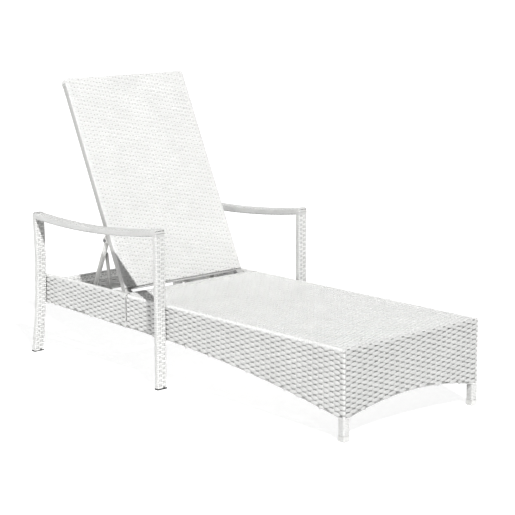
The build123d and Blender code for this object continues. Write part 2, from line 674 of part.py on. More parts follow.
HINGE_SPOT = [(HINGE_Y, HINGE_Z)]
CHEEK_IN = STAY_X - STAY_R - CHEEK_GAP - CHEEK
CHEEK_OUT = STAY_X + STAY_R + CHEEK_GAP
STRAP_FRONT = BACK_THICK / 2 + GAP

# ======================= backrest ==========================================
for side, sx in SIDES:
    # side rail of the backrest; its lower end turns on the hinge pin
    with BuildPart() as back_rail:
        with BuildSketch(PROFILE.offset(sx * (BACK_HALF - BACK_TUBE / 2))):
            with BuildLine():
                Polyline(
                    along(0, BACK_TUBE_FRONT),
                    along(BACK_END - BACK_TUBE - GAP, BACK_TUBE_FRONT),
                    along(BACK_END - BACK_TUBE - GAP, BACK_THICK / 2),
                    along(0, BACK_THICK / 2),
                    close=True,
                )
            make_face()
            with Locations((HINGE_Y, HINGE_Z)):
                Circle(EYE_R)
        extrude(amount=BACK_TUBE / 2, both=True)
        long_edges = back_rail.edges().filter_by(
            lambda e: e.length > (BACK_END - BACK_START) / 2
        )
        fillet(long_edges, BACK_EDGE_R)
        bore_x(sx * (BACK_HALF - BACK_TUBE / 2), BORE_LONG, PIN_R + PIN_PLAY, HINGE_SPOT)
    back_rail.part.label = f"back_side_rail_{side}"
    export_step(back_rail.part, f"parts/back_side_rail_{side}.step")

    # bracket behind the rail for the stay
    with BuildPart() as bracket:
        with BuildSketch(PROFILE.offset(sx * CHEEK_IN)):
            with BuildLine():
                Polyline(
                    along(STAY_UP - BRACKET_HALF, STRAP_FRONT),
                    along(STAY_UP + BRACKET_HALF, STRAP_FRONT),
                    along(STAY_UP + BRACKET_HALF, STRAP_FRONT + CHEEK),
                    along(STAY_UP - BRACKET_HALF, STRAP_FRONT + CHEEK),
                    close=True,
                )
            make_face()
        extrude(amount=sx * (CHEEK_OUT - CHEEK_IN + CHEEK))
        for cheek_x in (CHEEK_IN, CHEEK_OUT):
            with BuildSketch(PROFILE.offset(sx * cheek_x)):
                with BuildLine():
                    Polyline(
                        along(STAY_UP - CHEEK_FOOT, STRAP_FRONT),
                        along(STAY_UP + CHEEK_FOOT, STRAP_FRONT),
                        along(STAY_UP + CHEEK_HEAD, STAY_BACK),
                        along(STAY_UP - CHEEK_HEAD, STAY_BACK),
                        close=True,
                    )
                make_face()
                with Locations((PIVOT_Y, PIVOT_Z)):
                    Circle(CHEEK_EYE_R)
                    Circle(BOLT_R + PIN_PLAY, mode=Mode.SUBTRACT)
            extrude(amount=sx * CHEEK)
    bracket.part.label = f"stay_bracket_{side}"
    export_step(bracket.part, f"parts/stay_bracket_{side}.step")

# bolts through the brackets and the stay eyes
with BuildPart() as stay_bolts:
    for sx in (-1, 1):
        with BuildSketch(PROFILE.offset(sx * (CHEEK_IN - BOLT_PROUD))):
            with Locations((PIVOT_Y, PIVOT_Z)):
                Circle(BOLT_R)
        extrude(amount=sx * (CHEEK_OUT + CHEEK - CHEEK_IN + BOLT_PROUD + PIN_HEAD_GAP))
        with BuildSketch(PROFILE.offset(sx * (CHEEK_OUT + CHEEK + LINK_PLAY))):
            with Locations((PIVOT_Y, PIVOT_Z)):
                Circle(BOLT_HEAD_R)
        extrude(amount=sx * BOLT_HEAD_H)
stay_bolts.part.label = "stay_bolts"
export_step(stay_bolts.part, "parts/stay_bolts.step")

# top and bottom rails of the backrest
with BuildPart() as back_top:
    with BuildSketch(BACK_PLANE.offset(-BACK_THICK / 2)):
        with Locations((0, BACK_END - BACK_TUBE / 2)):
            Rectangle(2 * BACK_HALF, BACK_TUBE)
    extrude(amount=BACK_THICK / 2 - BACK_TUBE_FRONT)
    corner_edges = back_top.edges().filter_by(Axis(origin=(0, 0, 0), direction=BACK_PLANE.z_dir))
    fillet(corner_edges.sort_by(Axis.Z)[-2:], BACK_CORNER)
back_top.part.label = "back_top_rail"
export_step(back_top.part, "parts/back_top_rail.step")

with BuildPart() as back_bottom:
    with BuildSketch(BACK_PLANE.offset(-BACK_THICK / 2)):
        with Locations((0, BACK_START + BACK_TUBE / 2)):
            Rectangle(2 * (BACK_HALF - BACK_TUBE - GAP), BACK_TUBE)
    extrude(amount=BACK_THICK / 2 - BACK_TUBE_FRONT)
back_bottom.part.label = "back_bottom_rail"
export_step(back_bottom.part, "parts/back_bottom_rail.step")

# flat cross slats behind the woven panel
with BuildPart() as back_slats:
    with BuildSketch(BACK_PLANE.offset(-BACK_TUBE_FRONT)):
        with Locations((0, (BACK_START + BACK_END) / 2)):
            with GridLocations(0, BACK_SLAT_PITCH, 1, BACK_SLATS):
                Rectangle(2 * (BACK_HALF - BACK_TUBE - GAP), BACK_SLAT_W)
    extrude(amount=-BACK_SLAT_T)
back_slats.part.label = "back_slats"
export_step(back_slats.part, "parts/back_slats.step")

# woven face of the backrest
with BuildPart() as back_weave:
    with BuildSketch(BACK_PLANE.offset(-BACK_FRONT - BACK_SKIN)):
        with Locations((0, (BACK_START + BACK_END) / 2)):
            Rectangle(2 * BACK_HALF, BACK_END - BACK_START)
    extrude(amount=BACK_SKIN)
    weave_corners = back_weave.edges().filter_by(
        Axis(origin=(0, 0, 0), direction=BACK_PLANE.z_dir)
    )
    fillet(weave_corners.sort_by(Axis.Z)[-2:], BACK_CORNER)
back_weave.part.label = "back_weave"
export_step(back_weave.part, "parts/back_weave.step")

# ======================= stay ==============================================
for side, sx in SIDES:
    # stay leg: a tube with a solid eye at the top and a saddle on the bar below
    STAY_PLANE = Plane(
        origin=(sx * STAY_X, PIVOT_Y, PIVOT_Z),
        x_dir=(1, 0, 0),
        z_dir=STAY_DIR,
    )
    with BuildPart() as stay_leg:
        with BuildSketch(STAY_PLANE):
            Circle(STAY_R)
        extrude(amount=STAY_LONG)
        with BuildSketch(PROFILE.offset(sx * STAY_X)):
            with Locations((PIVOT_Y, PIVOT_Z)):
                Circle(STAY_R)
        extrude(amount=STAY_R, both=True)
        with BuildSketch(STAY_PLANE.offset(EYE_SOLID)):
            Circle(STAY_R - STAY_WALL)
        extrude(amount=STAY_LONG, mode=Mode.SUBTRACT)
        bore_x(sx * STAY_X, BORE_LONG, BOLT_R + PIN_PLAY, [(PIVOT_Y, PIVOT_Z)])
        bore_x(sx * STAY_X, BORE_LONG, BAR_R + PIN_PLAY, [(BAR_Y, BAR_Z)])
    stay_leg.part.label = f"stay_leg_{side}"
    export_step(stay_leg.part, f"parts/stay_leg_{side}.step")

# cross bar that joins the legs and rides on the racks
with BuildPart() as stay_bar:
    with BuildSketch(PROFILE):
        with Locations((BAR_Y, BAR_Z)):
            Circle(BAR_R)
            Circle(BAR_R - STAY_WALL, mode=Mode.SUBTRACT)
    extrude(amount=BAR_HALF, both=True)
stay_bar.part.label = "stay_bar"
export_step(stay_bar.part, "parts/stay_bar.step")

# plastic ends of the bar
with BuildPart() as bar_caps:
    for sx in (-1, 1):
        with BuildSketch(PROFILE.offset(sx * (BAR_HALF + GAP))):
            with Locations((BAR_Y, BAR_Z)):
                Circle(BAR_R)
        extrude(amount=sx * (BAR_CAP - GAP))
        with BuildSketch(PROFILE.offset(sx * (BAR_HALF + GAP))):
            with Locations((BAR_Y, BAR_Z)):
                Circle(BAR_R - STAY_WALL - GAP)
        extrude(amount=-sx * BAR_PLUG)
bar_caps.part.label = "bar_caps"
export_step(bar_caps.part, "parts/bar_caps.step")

# ======================= links =============================================
TOP_Y = PIVOT_Y + LINK_DOWN * STAY_DIR.Y
TOP_Z = PIVOT_Z + LINK_DOWN * STAY_DIR.Z
for side, sx in SIDES:
    # flat strap from the mid cross rail up to the side of the stay leg
    link_reach = (Vector(TOP_Y, TOP_Z) - Vector(LINK_Y, LINK_Z)).length
    link_turn = Vector(1, 0, 0).get_signed_angle(
        Vector(TOP_Y - LINK_Y, TOP_Z - LINK_Z), Vector(0, 0, 1)
    )
    with BuildPart() as link:
        with BuildSketch(PROFILE.offset(sx * LINK_IN)):
            with Locations(((LINK_Y + TOP_Y) / 2, (LINK_Z + TOP_Z) / 2)):
                SlotCenterToCenter(link_reach, LINK_W, rotation=link_turn)
            with Locations((LINK_Y, LINK_Z), (TOP_Y, TOP_Z)):
                Circle(BOLT_R + PIN_PLAY, mode=Mode.SUBTRACT)
        extrude(amount=sx * LINK_T)
    link.part.label = f"link_{side}"
    export_step(link.part, f"parts/link_{side}.step")

# rivets in the upper eyes, and pins through the lower eyes and the lugs
EYE_SIDE = LINK_IN - HEAD_GAP
for fastener, eye_y, eye_z, reach in (
    ("link_rivets", TOP_Y, TOP_Z, LINK_T),
    ("link_pins", LINK_Y, LINK_Z, LINK_T + CHEEK + 2 * BOLT_PROUD),
):
    with BuildPart() as eye_pins:
        for sx in (-1, 1):
            with BuildSketch(PROFILE.offset(sx * EYE_SIDE)):
                with Locations((eye_y, eye_z)):
                    Circle(BOLT_HEAD_R)
            extrude(amount=-sx * RIVET_HEAD_H)
            with BuildSketch(PROFILE.offset(sx * (EYE_SIDE - HEAD_GAP))):
                with Locations((eye_y, eye_z)):
                    Circle(BOLT_R)
            extrude(amount=sx * reach)
    eye_pins.part.label = fastener
    export_step(eye_pins.part, f"parts/{fastener}.step")

# ======================= arms ==============================================
LEG_TOP_FRONT = arm_under(ARM_FRONT_Y) - GAP
LEG_TOP_BACK = arm_under(ARM_FRONT_Y + ARM_LEG_T) - GAP
ARM_MID_Y = (ARM_FRONT_Y + ARM_REAR_Y) / 2
BOW_TOP = arm_under(ARM_REAR_Y) - BOW_GAP
BOW_TOP_FRONT = arm_under(ARM_REAR_Y - BOW_T) - BOW_GAP
BOW_MID = (GLIDE + GAP + BOW_TOP) / 2
for side, sx in SIDES:
    # straight front leg
    with BuildPart() as arm_leg:
        with BuildSketch(PROFILE.offset(sx * ARM_X)):
            with BuildLine():
                Polyline(
                    (ARM_FRONT_Y, GLIDE + GAP),
                    (ARM_FRONT_Y + ARM_LEG_T, GLIDE + GAP),
                    (ARM_FRONT_Y + ARM_LEG_T, LEG_TOP_BACK),
                    (ARM_FRONT_Y, LEG_TOP_FRONT),
                    close=True,
                )
            make_face()
        extrude(amount=ARM_WIDE / 2, both=True)
        bore_x(sx * ARM_IN, 2 * ARM_BOLT_IN + 1, BOLT_R, FRONT_BOLTS)
    arm_leg.part.label = f"arm_front_leg_{side}"
    export_step(arm_leg.part, f"parts/arm_front_leg_{side}.step")

    # dished armrest
    with BuildPart() as armrest:
        with BuildSketch(PROFILE.offset(sx * ARM_X)):
            with BuildLine():
                ThreePointArc(
                    (ARM_FRONT_Y, arm_top(ARM_FRONT_Y)),
                    (ARM_MID_Y, arm_top(ARM_MID_Y)),
                    (ARM_REAR_Y, arm_top(ARM_REAR_Y)),
                )
                Line((ARM_REAR_Y, arm_top(ARM_REAR_Y)), (ARM_REAR_Y, arm_under(ARM_REAR_Y)))
                ThreePointArc(
                    (ARM_REAR_Y, arm_under(ARM_REAR_Y)),
                    (ARM_MID_Y, arm_under(ARM_MID_Y)),
                    (ARM_FRONT_Y, arm_under(ARM_FRONT_Y)),
                )
                Line((ARM_FRONT_Y, arm_under(ARM_FRONT_Y)), (ARM_FRONT_Y, arm_top(ARM_FRONT_Y)))
            make_face()
        extrude(amount=ARM_WIDE / 2, both=True)
        rest_ends = armrest.edges().filter_by(Axis.X).group_by(Axis.Z)[-1]
        fillet(rest_ends, ARM_EDGE_R)
    armrest.part.label = f"armrest_{side}"
    export_step(armrest.part, f"parts/armrest_{side}.step")

    # bowed rear leg
    with BuildPart() as bow_leg:
        with BuildSketch(PROFILE.offset(sx * ARM_X)):
            with BuildLine():
                ThreePointArc(
                    (bow_rear(GLIDE), GLIDE + GAP),
                    (bow_rear(BOW_MID), BOW_MID),
                    (bow_rear(BOW_TOP), BOW_TOP),
                )
                Line((bow_rear(BOW_TOP), BOW_TOP), (bow_rear(BOW_TOP) - BOW_T, BOW_TOP_FRONT))
                ThreePointArc(
                    (bow_rear(BOW_TOP) - BOW_T, BOW_TOP_FRONT),
                    (bow_rear(BOW_MID) - BOW_T, BOW_MID),
                    (bow_rear(GLIDE) - BOW_T, GLIDE + GAP),
                )
                Line((bow_rear(GLIDE) - BOW_T, GLIDE + GAP), (bow_rear(GLIDE), GLIDE + GAP))
            make_face()
        extrude(amount=ARM_WIDE / 2, both=True)
        bore_x(sx * ARM_IN, 2 * ARM_BOLT_IN + 1, BOLT_R, REAR_BOLTS)
    bow_leg.part.label = f"arm_rear_leg_{side}"
    export_step(bow_leg.part, f"parts/arm_rear_leg_{side}.step")

# thin glides under the arm legs
with BuildPart() as glides:
    for sx in (-1, 1):
        for glide_y, glide_w in (
            (ARM_FRONT_Y + ARM_LEG_T / 2, ARM_LEG_T),
            (bow_rear(GLIDE) - BOW_T / 2, BOW_T),
        ):
            with BuildSketch(Plane.XY):
                with Locations((sx * ARM_X, glide_y)):
                    Rectangle(ARM_WIDE, glide_w)
            extrude(amount=GLIDE)
glides.part.label = "arm_glides"
export_step(glides.part, "parts/arm_glides.step")

# bolts from inside the frame into the arm legs
with BuildPart() as arm_bolts:
    for sx in (-1, 1):
        for bolt_y, bolt_z in (*FRONT_BOLTS, *REAR_BOLTS):
            with BuildSketch(PROFILE.offset(sx * (INNER_X - GAP))):
                with Locations((bolt_y, bolt_z)):
                    Circle(BOLT_R - PIN_PLAY)
            extrude(amount=sx * (ARM_IN + ARM_BOLT_IN - INNER_X))
            with BuildSketch(PROFILE.offset(sx * (INNER_X - GAP))):
                with Locations((bolt_y, bolt_z)):
                    Circle(BOLT_HEAD_R)
            extrude(amount=-sx * BOLT_HEAD_H)
arm_bolts.part.label = "arm_bolts"
export_step(arm_bolts.part, "parts/arm_bolts.step")
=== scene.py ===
import json
import math
import bpy
import numpy as np
from mathutils import Matrix, Vector


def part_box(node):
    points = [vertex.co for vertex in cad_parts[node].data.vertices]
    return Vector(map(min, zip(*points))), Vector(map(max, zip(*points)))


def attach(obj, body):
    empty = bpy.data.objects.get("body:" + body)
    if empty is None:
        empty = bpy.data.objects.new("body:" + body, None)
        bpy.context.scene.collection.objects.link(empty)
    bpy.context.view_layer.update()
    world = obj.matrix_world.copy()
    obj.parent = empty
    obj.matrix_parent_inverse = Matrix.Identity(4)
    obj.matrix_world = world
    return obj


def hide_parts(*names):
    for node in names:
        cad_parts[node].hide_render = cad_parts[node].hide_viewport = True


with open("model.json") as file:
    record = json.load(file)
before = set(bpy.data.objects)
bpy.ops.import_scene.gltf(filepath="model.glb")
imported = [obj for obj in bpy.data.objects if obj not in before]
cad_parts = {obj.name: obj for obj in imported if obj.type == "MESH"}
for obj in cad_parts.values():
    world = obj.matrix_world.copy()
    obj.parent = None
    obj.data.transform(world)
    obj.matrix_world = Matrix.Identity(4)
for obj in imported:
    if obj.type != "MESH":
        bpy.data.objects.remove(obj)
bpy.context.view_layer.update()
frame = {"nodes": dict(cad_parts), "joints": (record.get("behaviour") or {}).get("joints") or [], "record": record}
nodes = frame["nodes"]
rng = np.random.default_rng(7)

MM = 0.001
SIDES = (("left", -1), ("right", 1))

# ---------------------------------------------------------------- sizes
FOOT_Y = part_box("deck_weave")[0].y
SEAM_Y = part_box("deck_weave")[1].y
DECK_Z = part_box("deck_weave")[1].z
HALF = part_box("deck_weave")[1].x
REAR_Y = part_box("rear_side_rail_left")[0].y
REAR_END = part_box("rear_side_rail_left")[1].y
ROW = 8.75 * MM            # pitch of the woven strands
STAKE = 25.6 * MM          # pitch of the stakes they pass over and under
BACK_ROW = 5.8 * MM
BACK_STAKE = 27.7 * MM
SKIRT_AMP = 1.4 * MM
SKIRT_DEEP = 2.5 * MM      # middle of the weave, in from its outer face
SKIRT_WIDTH = 8.8 * MM
SKIRT_SWELL = 6.1 * MM     # how much a strand spreads where it runs over a stake
SKIRT_THICK = 2.2 * MM
STAKE_AMP = 0.7 * MM
STAKE_WIDTH = 5.0 * MM
STAKE_THICK = 2.2 * MM
HEM = 3.6 * MM             # thickness of the cord along the lower edges
ROLL = 8 * MM              # radius of the deck's long and foot-end edges
ROW_STEP = 3.2 * MM        # spacing of the points along a row
STAKE_STEP = 2.2 * MM      # and along a stake

HINGE = next(j for j in frame["joints"] if j["name"] == "backrest_hinge")["pos_m"]
RECLINE = math.radians(65.0)
UP_BACK = np.array([0.0, math.cos(RECLINE), math.sin(RECLINE)])
BEHIND = np.array([0.0, math.sin(RECLINE), -math.cos(RECLINE)])
AXIS = np.array([0.0, HINGE[1], HINGE[2]])

X = np.array([1.0, 0.0, 0.0])
Y = np.array([0.0, 1.0, 0.0])
Z = np.array([0.0, 0.0, 1.0])

# ---------------------------------------------------------------- strands
# Outlines of a strand across its width and thickness, both taken as 1.
CROWN = np.array([
    (-0.5, -0.1), (-0.43, 0.22), (-0.24, 0.44), (0.0, 0.5), (0.24, 0.44),
    (0.43, 0.22), (0.5, -0.1), (0.3, -0.5), (-0.3, -0.5),
])
FLAT = np.array([(-0.5, 0.0), (-0.42, 0.5), (0.42, 0.5), (0.5, 0.0), (0.42, -0.5), (-0.42, -0.5)])
OUTER = -0.1               # outline points above this are on the outer side
TONE_SHIFT = 3.0           # moves the grain of one strand along from the next one's
BOX_CORNERS = np.array([(a, b, c) for a in (0, 1) for b in (0, 1) for c in (0, 1)])
BOX_FACES = [(0, 1, 3, 2), (4, 6, 7, 5), (0, 4, 5, 1), (2, 3, 7, 6), (0, 2, 6, 4), (1, 5, 7, 3)]


def unit(v):
    return v / np.linalg.norm(v, axis=-1)[..., None]


def track(x, y, z):
    """Points from their coordinates, any of which may be one number for all of them."""
    return np.stack(np.broadcast_arrays(x, y, z), 1).astype(float)


class Strands:
    """Gathers strands, each a closed tube along its points, into one mesh."""

    def __init__(self, ring=FLAT):
        self.ring = ring
        self.verts = []
        self.faces = []
        self.info = []
        self.count = 0

    def add(self, points, normals, width, thick, loop=False, deep=None):
        """One strand through points, facing along normals. deep is 1 where it is shaded."""
        p = np.asarray(points, float)
        n = np.broadcast_to(np.asarray(normals, float), p.shape)
        if loop:
            t = np.roll(p, -1, 0) - np.roll(p, 1, 0)
        else:
            t = np.gradient(p, axis=0)
        t = unit(t)
        s = unit(np.cross(t, n))
        n = np.cross(s, t)
        k = len(self.ring)
        m = len(p)
        w = np.broadcast_to(width, (m,))
        h = np.broadcast_to(thick, (m,))
        v = (
            p[:, None]
            + s[:, None] * (w[:, None] * self.ring[:, 0])[:, :, None]
            + n[:, None] * (h[:, None] * self.ring[:, 1])[:, :, None]
        )
        base = self.count
        self.verts.append(v.reshape(-1, 3))
        self.count += m * k
        i = np.arange(m if loop else m - 1)
        j = np.arange(k)
        a = base + (i[:, None] * k + j[None]).ravel()
        b = base + (i[:, None] * k + ((j + 1) % k)[None]).ravel()
        c = base + (((i[:, None] + 1) % m) * k + ((j + 1) % k)[None]).ravel()
        d = base + (((i[:, None] + 1) % m) * k + j[None]).ravel()
        self.faces += np.stack([a, b, c, d], 1).tolist()
        if not loop:
            self.faces.append([base + x for x in range(k)][::-1])
            self.faces.append([base + (m - 1) * k + x for x in range(k)])
        run = np.concatenate([[0], np.cumsum(np.linalg.norm(np.diff(p, axis=0), axis=1))])
        tone = rng.random()
        low = np.zeros(m) if deep is None else np.asarray(deep)
        self.info.append(track(
            np.repeat(run + tone * TONE_SHIFT, k),
            (w[:, None] * self.ring[:, 0]).ravel() + tone,
            (low[:, None] * (self.ring[:, 1] >= OUTER)).ravel(),
        ))

    def box(self, lo, hi):
        """A plain core inside a wrapped piece."""
        lo = np.asarray(lo)
        self.solid(lo + BOX_CORNERS * (np.asarray(hi) - lo), BOX_FACES)

    def solid(self, verts, faces):
        """Any closed mesh, shaded as deep as it goes."""
        base = self.count
        self.verts.append(np.asarray(verts, float))
        self.faces += [[base + x for x in f] for f in faces]
        self.info.append(np.tile([[0.0, 0.0, 1.0]], (len(verts), 1)))
        self.count += len(verts)

    def make(self, name, body, mat, replaced=()):
        """Turns what was gathered into one piece that rides on a body."""
        verts = np.concatenate(self.verts)
        me = bpy.data.meshes.new(name)
        me.from_pydata(verts.tolist(), [], self.faces)
        me.update()
        att = me.attributes.new("strand", "FLOAT_VECTOR", "POINT")
        att.data.foreach_set("vector", np.concatenate(self.info).astype(np.float32).ravel())
        me.polygons.foreach_set("use_smooth", [True] * len(me.polygons))
        me.validate()
        ob = bpy.data.objects.new(name, me)
        bpy.context.scene.collection.objects.link(ob)
        me.materials.append(mat)
        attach(ob, body)
        if replaced:
            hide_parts(*replaced)


WAVE_FLAT = 1.5            # how flat the tops of the weave's wave are
ROW_SHIFT = 0.5 * MM       # scatter of a row's crossings along it
ROW_WANDER = 0.45 * MM     # scatter of a row up and down, stake by stake
SWELL_SCATTER = 0.16
STAKE_SHADE = 0.45         # shade of a stake in front, and what is added behind
STAKE_SHADE_MORE = 0.4


def square_wave(q):
    """A cosine of half-period 1 with flattened tops, from -1 to 1."""
    return np.tanh(WAVE_FLAT * np.cos(math.pi * q)) / math.tanh(WAVE_FLAT)


def stake_by_stake(s, u0, u1, middle, scatter):
    """Random values, one per stake from u0 to u1, blended at the places s."""
    knots = np.arange(u0, u1 + STAKE, STAKE)
    draws = rng.normal(middle, scatter, int((u1 - u0) / STAKE) + 2)
    return np.interp(s, knots, draws[: len(knots)])


def stake_places(lo, hi):
    """Number and position of each stake from lo to hi."""
    return [(k, k * STAKE) for k in range(math.ceil(lo / STAKE), int(hi / STAKE) + 1)]


def plain_rows(out, origin, u, v, n, rows, spans, amp=SKIRT_AMP, mid=-SKIRT_DEEP):
    """Horizontal strands over one stake and under the next.

    rows are positions along v, spans(v) gives the (u0, u1) stretches a row covers.
    """
    for i, at in rows:
        for u0, u1 in spans(at):
            if u1 - u0 < 2 * ROW_STEP:
                continue
            m = max(3, int(round((u1 - u0) / ROW_STEP)) + 1)
            s = np.linspace(u0, u1, m)
            wave = square_wave((s + rng.normal(0, ROW_SHIFT)) / STAKE + i)
            wander = stake_by_stake(s, u0, u1, 0, ROW_WANDER)
            uneven = stake_by_stake(s, u0, u1, 1, SWELL_SCATTER)
            p = origin + s[:, None] * u + (at + wander)[:, None] * v
            p = p + (mid + amp * wave)[:, None] * n
            swell = SKIRT_SWELL * uneven * np.clip(wave, 0, 1) ** 2
            # painted shade where a row dips under a stake
            out.add(p, n, SKIRT_WIDTH + swell, SKIRT_THICK, deep=np.clip(-wave, 0, 1) ** 3)


def stakes(out, origin, u, v, n, places, spans):
    """Strands across the rows, in front of every other one.

    places are numbers and positions along u, spans(u) the stretches along v.
    """
    for k, at in places:
        for v0, v1 in spans(at):
            if v1 - v0 < 2 * STAKE_STEP:
                continue
            m = max(3, int(round((v1 - v0) / STAKE_STEP)) + 1)
            s = np.linspace(v0, v1, m)
            wave = np.cos(math.pi * (s / ROW + 0.5 + k))
            p = origin + at * u + s[:, None] * v + (STAKE_AMP * wave - SKIRT_DEEP)[:, None] * n
            shade = STAKE_SHADE + STAKE_SHADE_MORE * np.clip(-wave, 0, 1)
            out.add(p, n, STAKE_WIDTH, STAKE_THICK, deep=shade)


def superbox(w, t, r, m):
    """Points and outward normals round a rounded rectangle w by t, corner radius r.

    Its flats are split into steps of about m.
    """
    runs = []
    for cx, cy, a0 in (
        (w / 2 - r, t / 2 - r, 0.0),
        (-w / 2 + r, t / 2 - r, 90.0),
        (-w / 2 + r, -t / 2 + r, 180.0),
        (w / 2 - r, -t / 2 + r, 270.0),
    ):
        for a in np.linspace(a0, a0 + 90.0, 4):
            c, s = math.cos(math.radians(a)), math.sin(math.radians(a))
            runs.append((cx + r * c, cy + r * s, c, s))
    runs = np.array(runs)
    out = []
    for a, b in zip(runs, np.roll(runs, -1, 0)):
        steps = int(np.hypot(*(b - a)[:2]) / m) + 1
        out += [a + (b - a) * e / steps for e in range(steps)]
    out = np.array(out)
    return out[:, :2], unit(out[:, 2:])


LANES = (-8.5 * MM, 8.5 * MM)      # lengthwise strips of the arms, off the middle line
LANE_DIP = 1.6 * MM        # how deep a turn dips under them
STRIP_WIDTH = 4.6 * MM
STRIP_THICK = 1.8 * MM
STRIP_DEEP = 1.5 * MM      # middle of a strip, in from the face of its bar
BAR_CORE = 1.6 * MM        # the core of a bar is smaller by this on each side
LANE_REACH = 6.0 * MM      # how far from a lane a turn starts to dip
LANE_EASE = 2.0 * MM       # and over what distance
LANE_RISE = 0.15           # how much the turns between stand proud, against the dip
FACE_ON = 0.8              # normals nearer than this to square belong to a wide face
FAN_LEAST = 0.15           # width of a fanned turn at its inner face
FAN_MOST = 1.25
FAN_SPREAD = 1.1           # how much wider it is at its outer face


def wraps(
    out, centre, side, face, w, t, r, width, thick,
    lanes=(), amp=0.0, i=0, m=3.0 * MM, fanned=False,
):
    """One closed turn of strand round a bar of section w by t at centre.

    lanes are positions across the two wide faces where the turn dips under a
    lengthwise strip on alternate turns. A fanned turn narrows towards its inner face.
    """
    q, n = superbox(w - thick, t - thick, min(r, t / 2 - thick), m)
    dip = np.zeros(len(q))
    for k, lane in enumerate(lanes):
        near = np.clip((LANE_REACH - np.abs(q[:, 0] - lane)) / LANE_EASE, 0, 1)
        near *= np.abs(n[:, 1]) > FACE_ON
        dip += near * (1.0 if (i + k) % 2 else -LANE_RISE)
    q = q - n * (amp * dip)[:, None]
    wide = width
    if fanned:
        wide = width * np.clip(FAN_LEAST + FAN_SPREAD * (q[:, 1] + t / 2) / t, FAN_LEAST, FAN_MOST)
    p = centre + q[:, :1] * side + q[:, 1:] * face
    nn = n[:, :1] * side + n[:, 1:] * face
    # painted shade where a turn dips under a lengthwise strip
    out.add(p, nn, wide, thick, loop=True, deep=np.clip(dip, 0, 1))


# ---------------------------------------------------------------- materials
def new_material(name):
    """A material with only a principled shader, its node tree and that shader."""
    m = bpy.data.materials.new(name)
    m.use_nodes = True
    nt = m.node_tree
    nt.nodes.clear()
    out = nt.nodes.new("ShaderNodeOutputMaterial")
    b = nt.nodes.new("ShaderNodeBsdfPrincipled")
    nt.links.new(b.outputs[0], out.inputs[0])
    return m, nt, b


def node(nt, kind, **values):
    """A shader node with its sockets or settings filled in."""
    n = nt.nodes.new("ShaderNode" + kind)
    for k, v in values.items():
        if k in n.inputs:
            n.inputs[k].default_value = v
        else:
            setattr(n, k, v)
    return n


def ramp(nt, source, stops):
    """A colour ramp through stops, fed by source."""
    r = nt.nodes.new("ShaderNodeValToRGB")
    while len(r.color_ramp.elements) < len(stops):
        r.color_ramp.elements.new(0.5)
    for e, (at, c) in zip(r.color_ramp.elements, stops):
        e.position = at
        e.color = (*c, 1) if len(c) == 3 else c
    nt.links.new(source, r.inputs[0])
    return r.outputs[0]


GROOVE_RUN = 30.0          # grooves of a strand: how often they change along it
# painted shade: the dark tone stands for the shade in the dips between strands
DIP_SHADE_MIX = 0.85                # how far the dips go towards the dark tone


def strand_material(name, light, dark, groove=1600.0):
    """Extruded resin strand: long fine grooves, slight tone changes, painted shade in the dips."""
    m, nt, b = new_material(name)
    b.inputs["Specular IOR Level"].default_value = 0.35
    att = node(nt, "Attribute", attribute_name="strand")
    sep = node(nt, "SeparateXYZ")
    nt.links.new(att.outputs["Vector"], sep.inputs[0])
    stretch = node(nt, "VectorMath", operation="MULTIPLY")
    stretch.inputs[1].default_value = (GROOVE_RUN, groove, 1.0)
    nt.links.new(att.outputs["Vector"], stretch.inputs[0])
    grain = node(nt, "TexNoise", Scale=1.0, Detail=3.0, Roughness=0.6)
    nt.links.new(stretch.outputs[0], grain.inputs["Vector"])
    coord = node(nt, "TexCoord")
    cloud = node(nt, "TexNoise", Scale=9.0, Detail=4.0, Roughness=0.55)
    nt.links.new(coord.outputs["Object"], cloud.inputs["Vector"])
    faded = tuple(0.965 * x for x in light)
    shade = ramp(nt, cloud.outputs["Fac"], ((0.3, faded), (0.7, light)))
    tone = ramp(nt, grain.outputs["Fac"], ((0.25, (0.93, 0.93, 0.925)), (0.6, (1, 1, 1))))
    mul = node(nt, "MixRGB", blend_type="MULTIPLY")
    mul.inputs[0].default_value = 0.8
    nt.links.new(shade, mul.inputs[1])
    nt.links.new(tone, mul.inputs[2])
    # painted shade: the deeper a point is marked, the nearer its colour goes to the dark tone
    dip_shade = ramp(nt, sep.outputs["Z"], ((0.35, (0, 0, 0)), (1.0, (1, 1, 1))))
    down = node(nt, "MixRGB", blend_type="MIX")
    down.inputs[2].default_value = (*dark, 1)
    scale = node(nt, "Math", operation="MULTIPLY")
    scale.inputs[1].default_value = DIP_SHADE_MIX
    nt.links.new(dip_shade, scale.inputs[0])
    nt.links.new(scale.outputs[0], down.inputs[0])
    nt.links.new(mul.outputs[0], down.inputs[1])
    nt.links.new(down.outputs[0], b.inputs["Base Color"])
    rough = ramp(nt, grain.outputs["Fac"], ((0.2, (0.52,) * 3), (0.8, (0.34,) * 3)))
    nt.links.new(rough, b.inputs["Roughness"])
    bump = node(nt, "Bump", Strength=0.25, Distance=0.0003)
    nt.links.new(grain.outputs["Fac"], bump.inputs["Height"])
    nt.links.new(bump.outputs[0], b.inputs["Normal"])
    return m


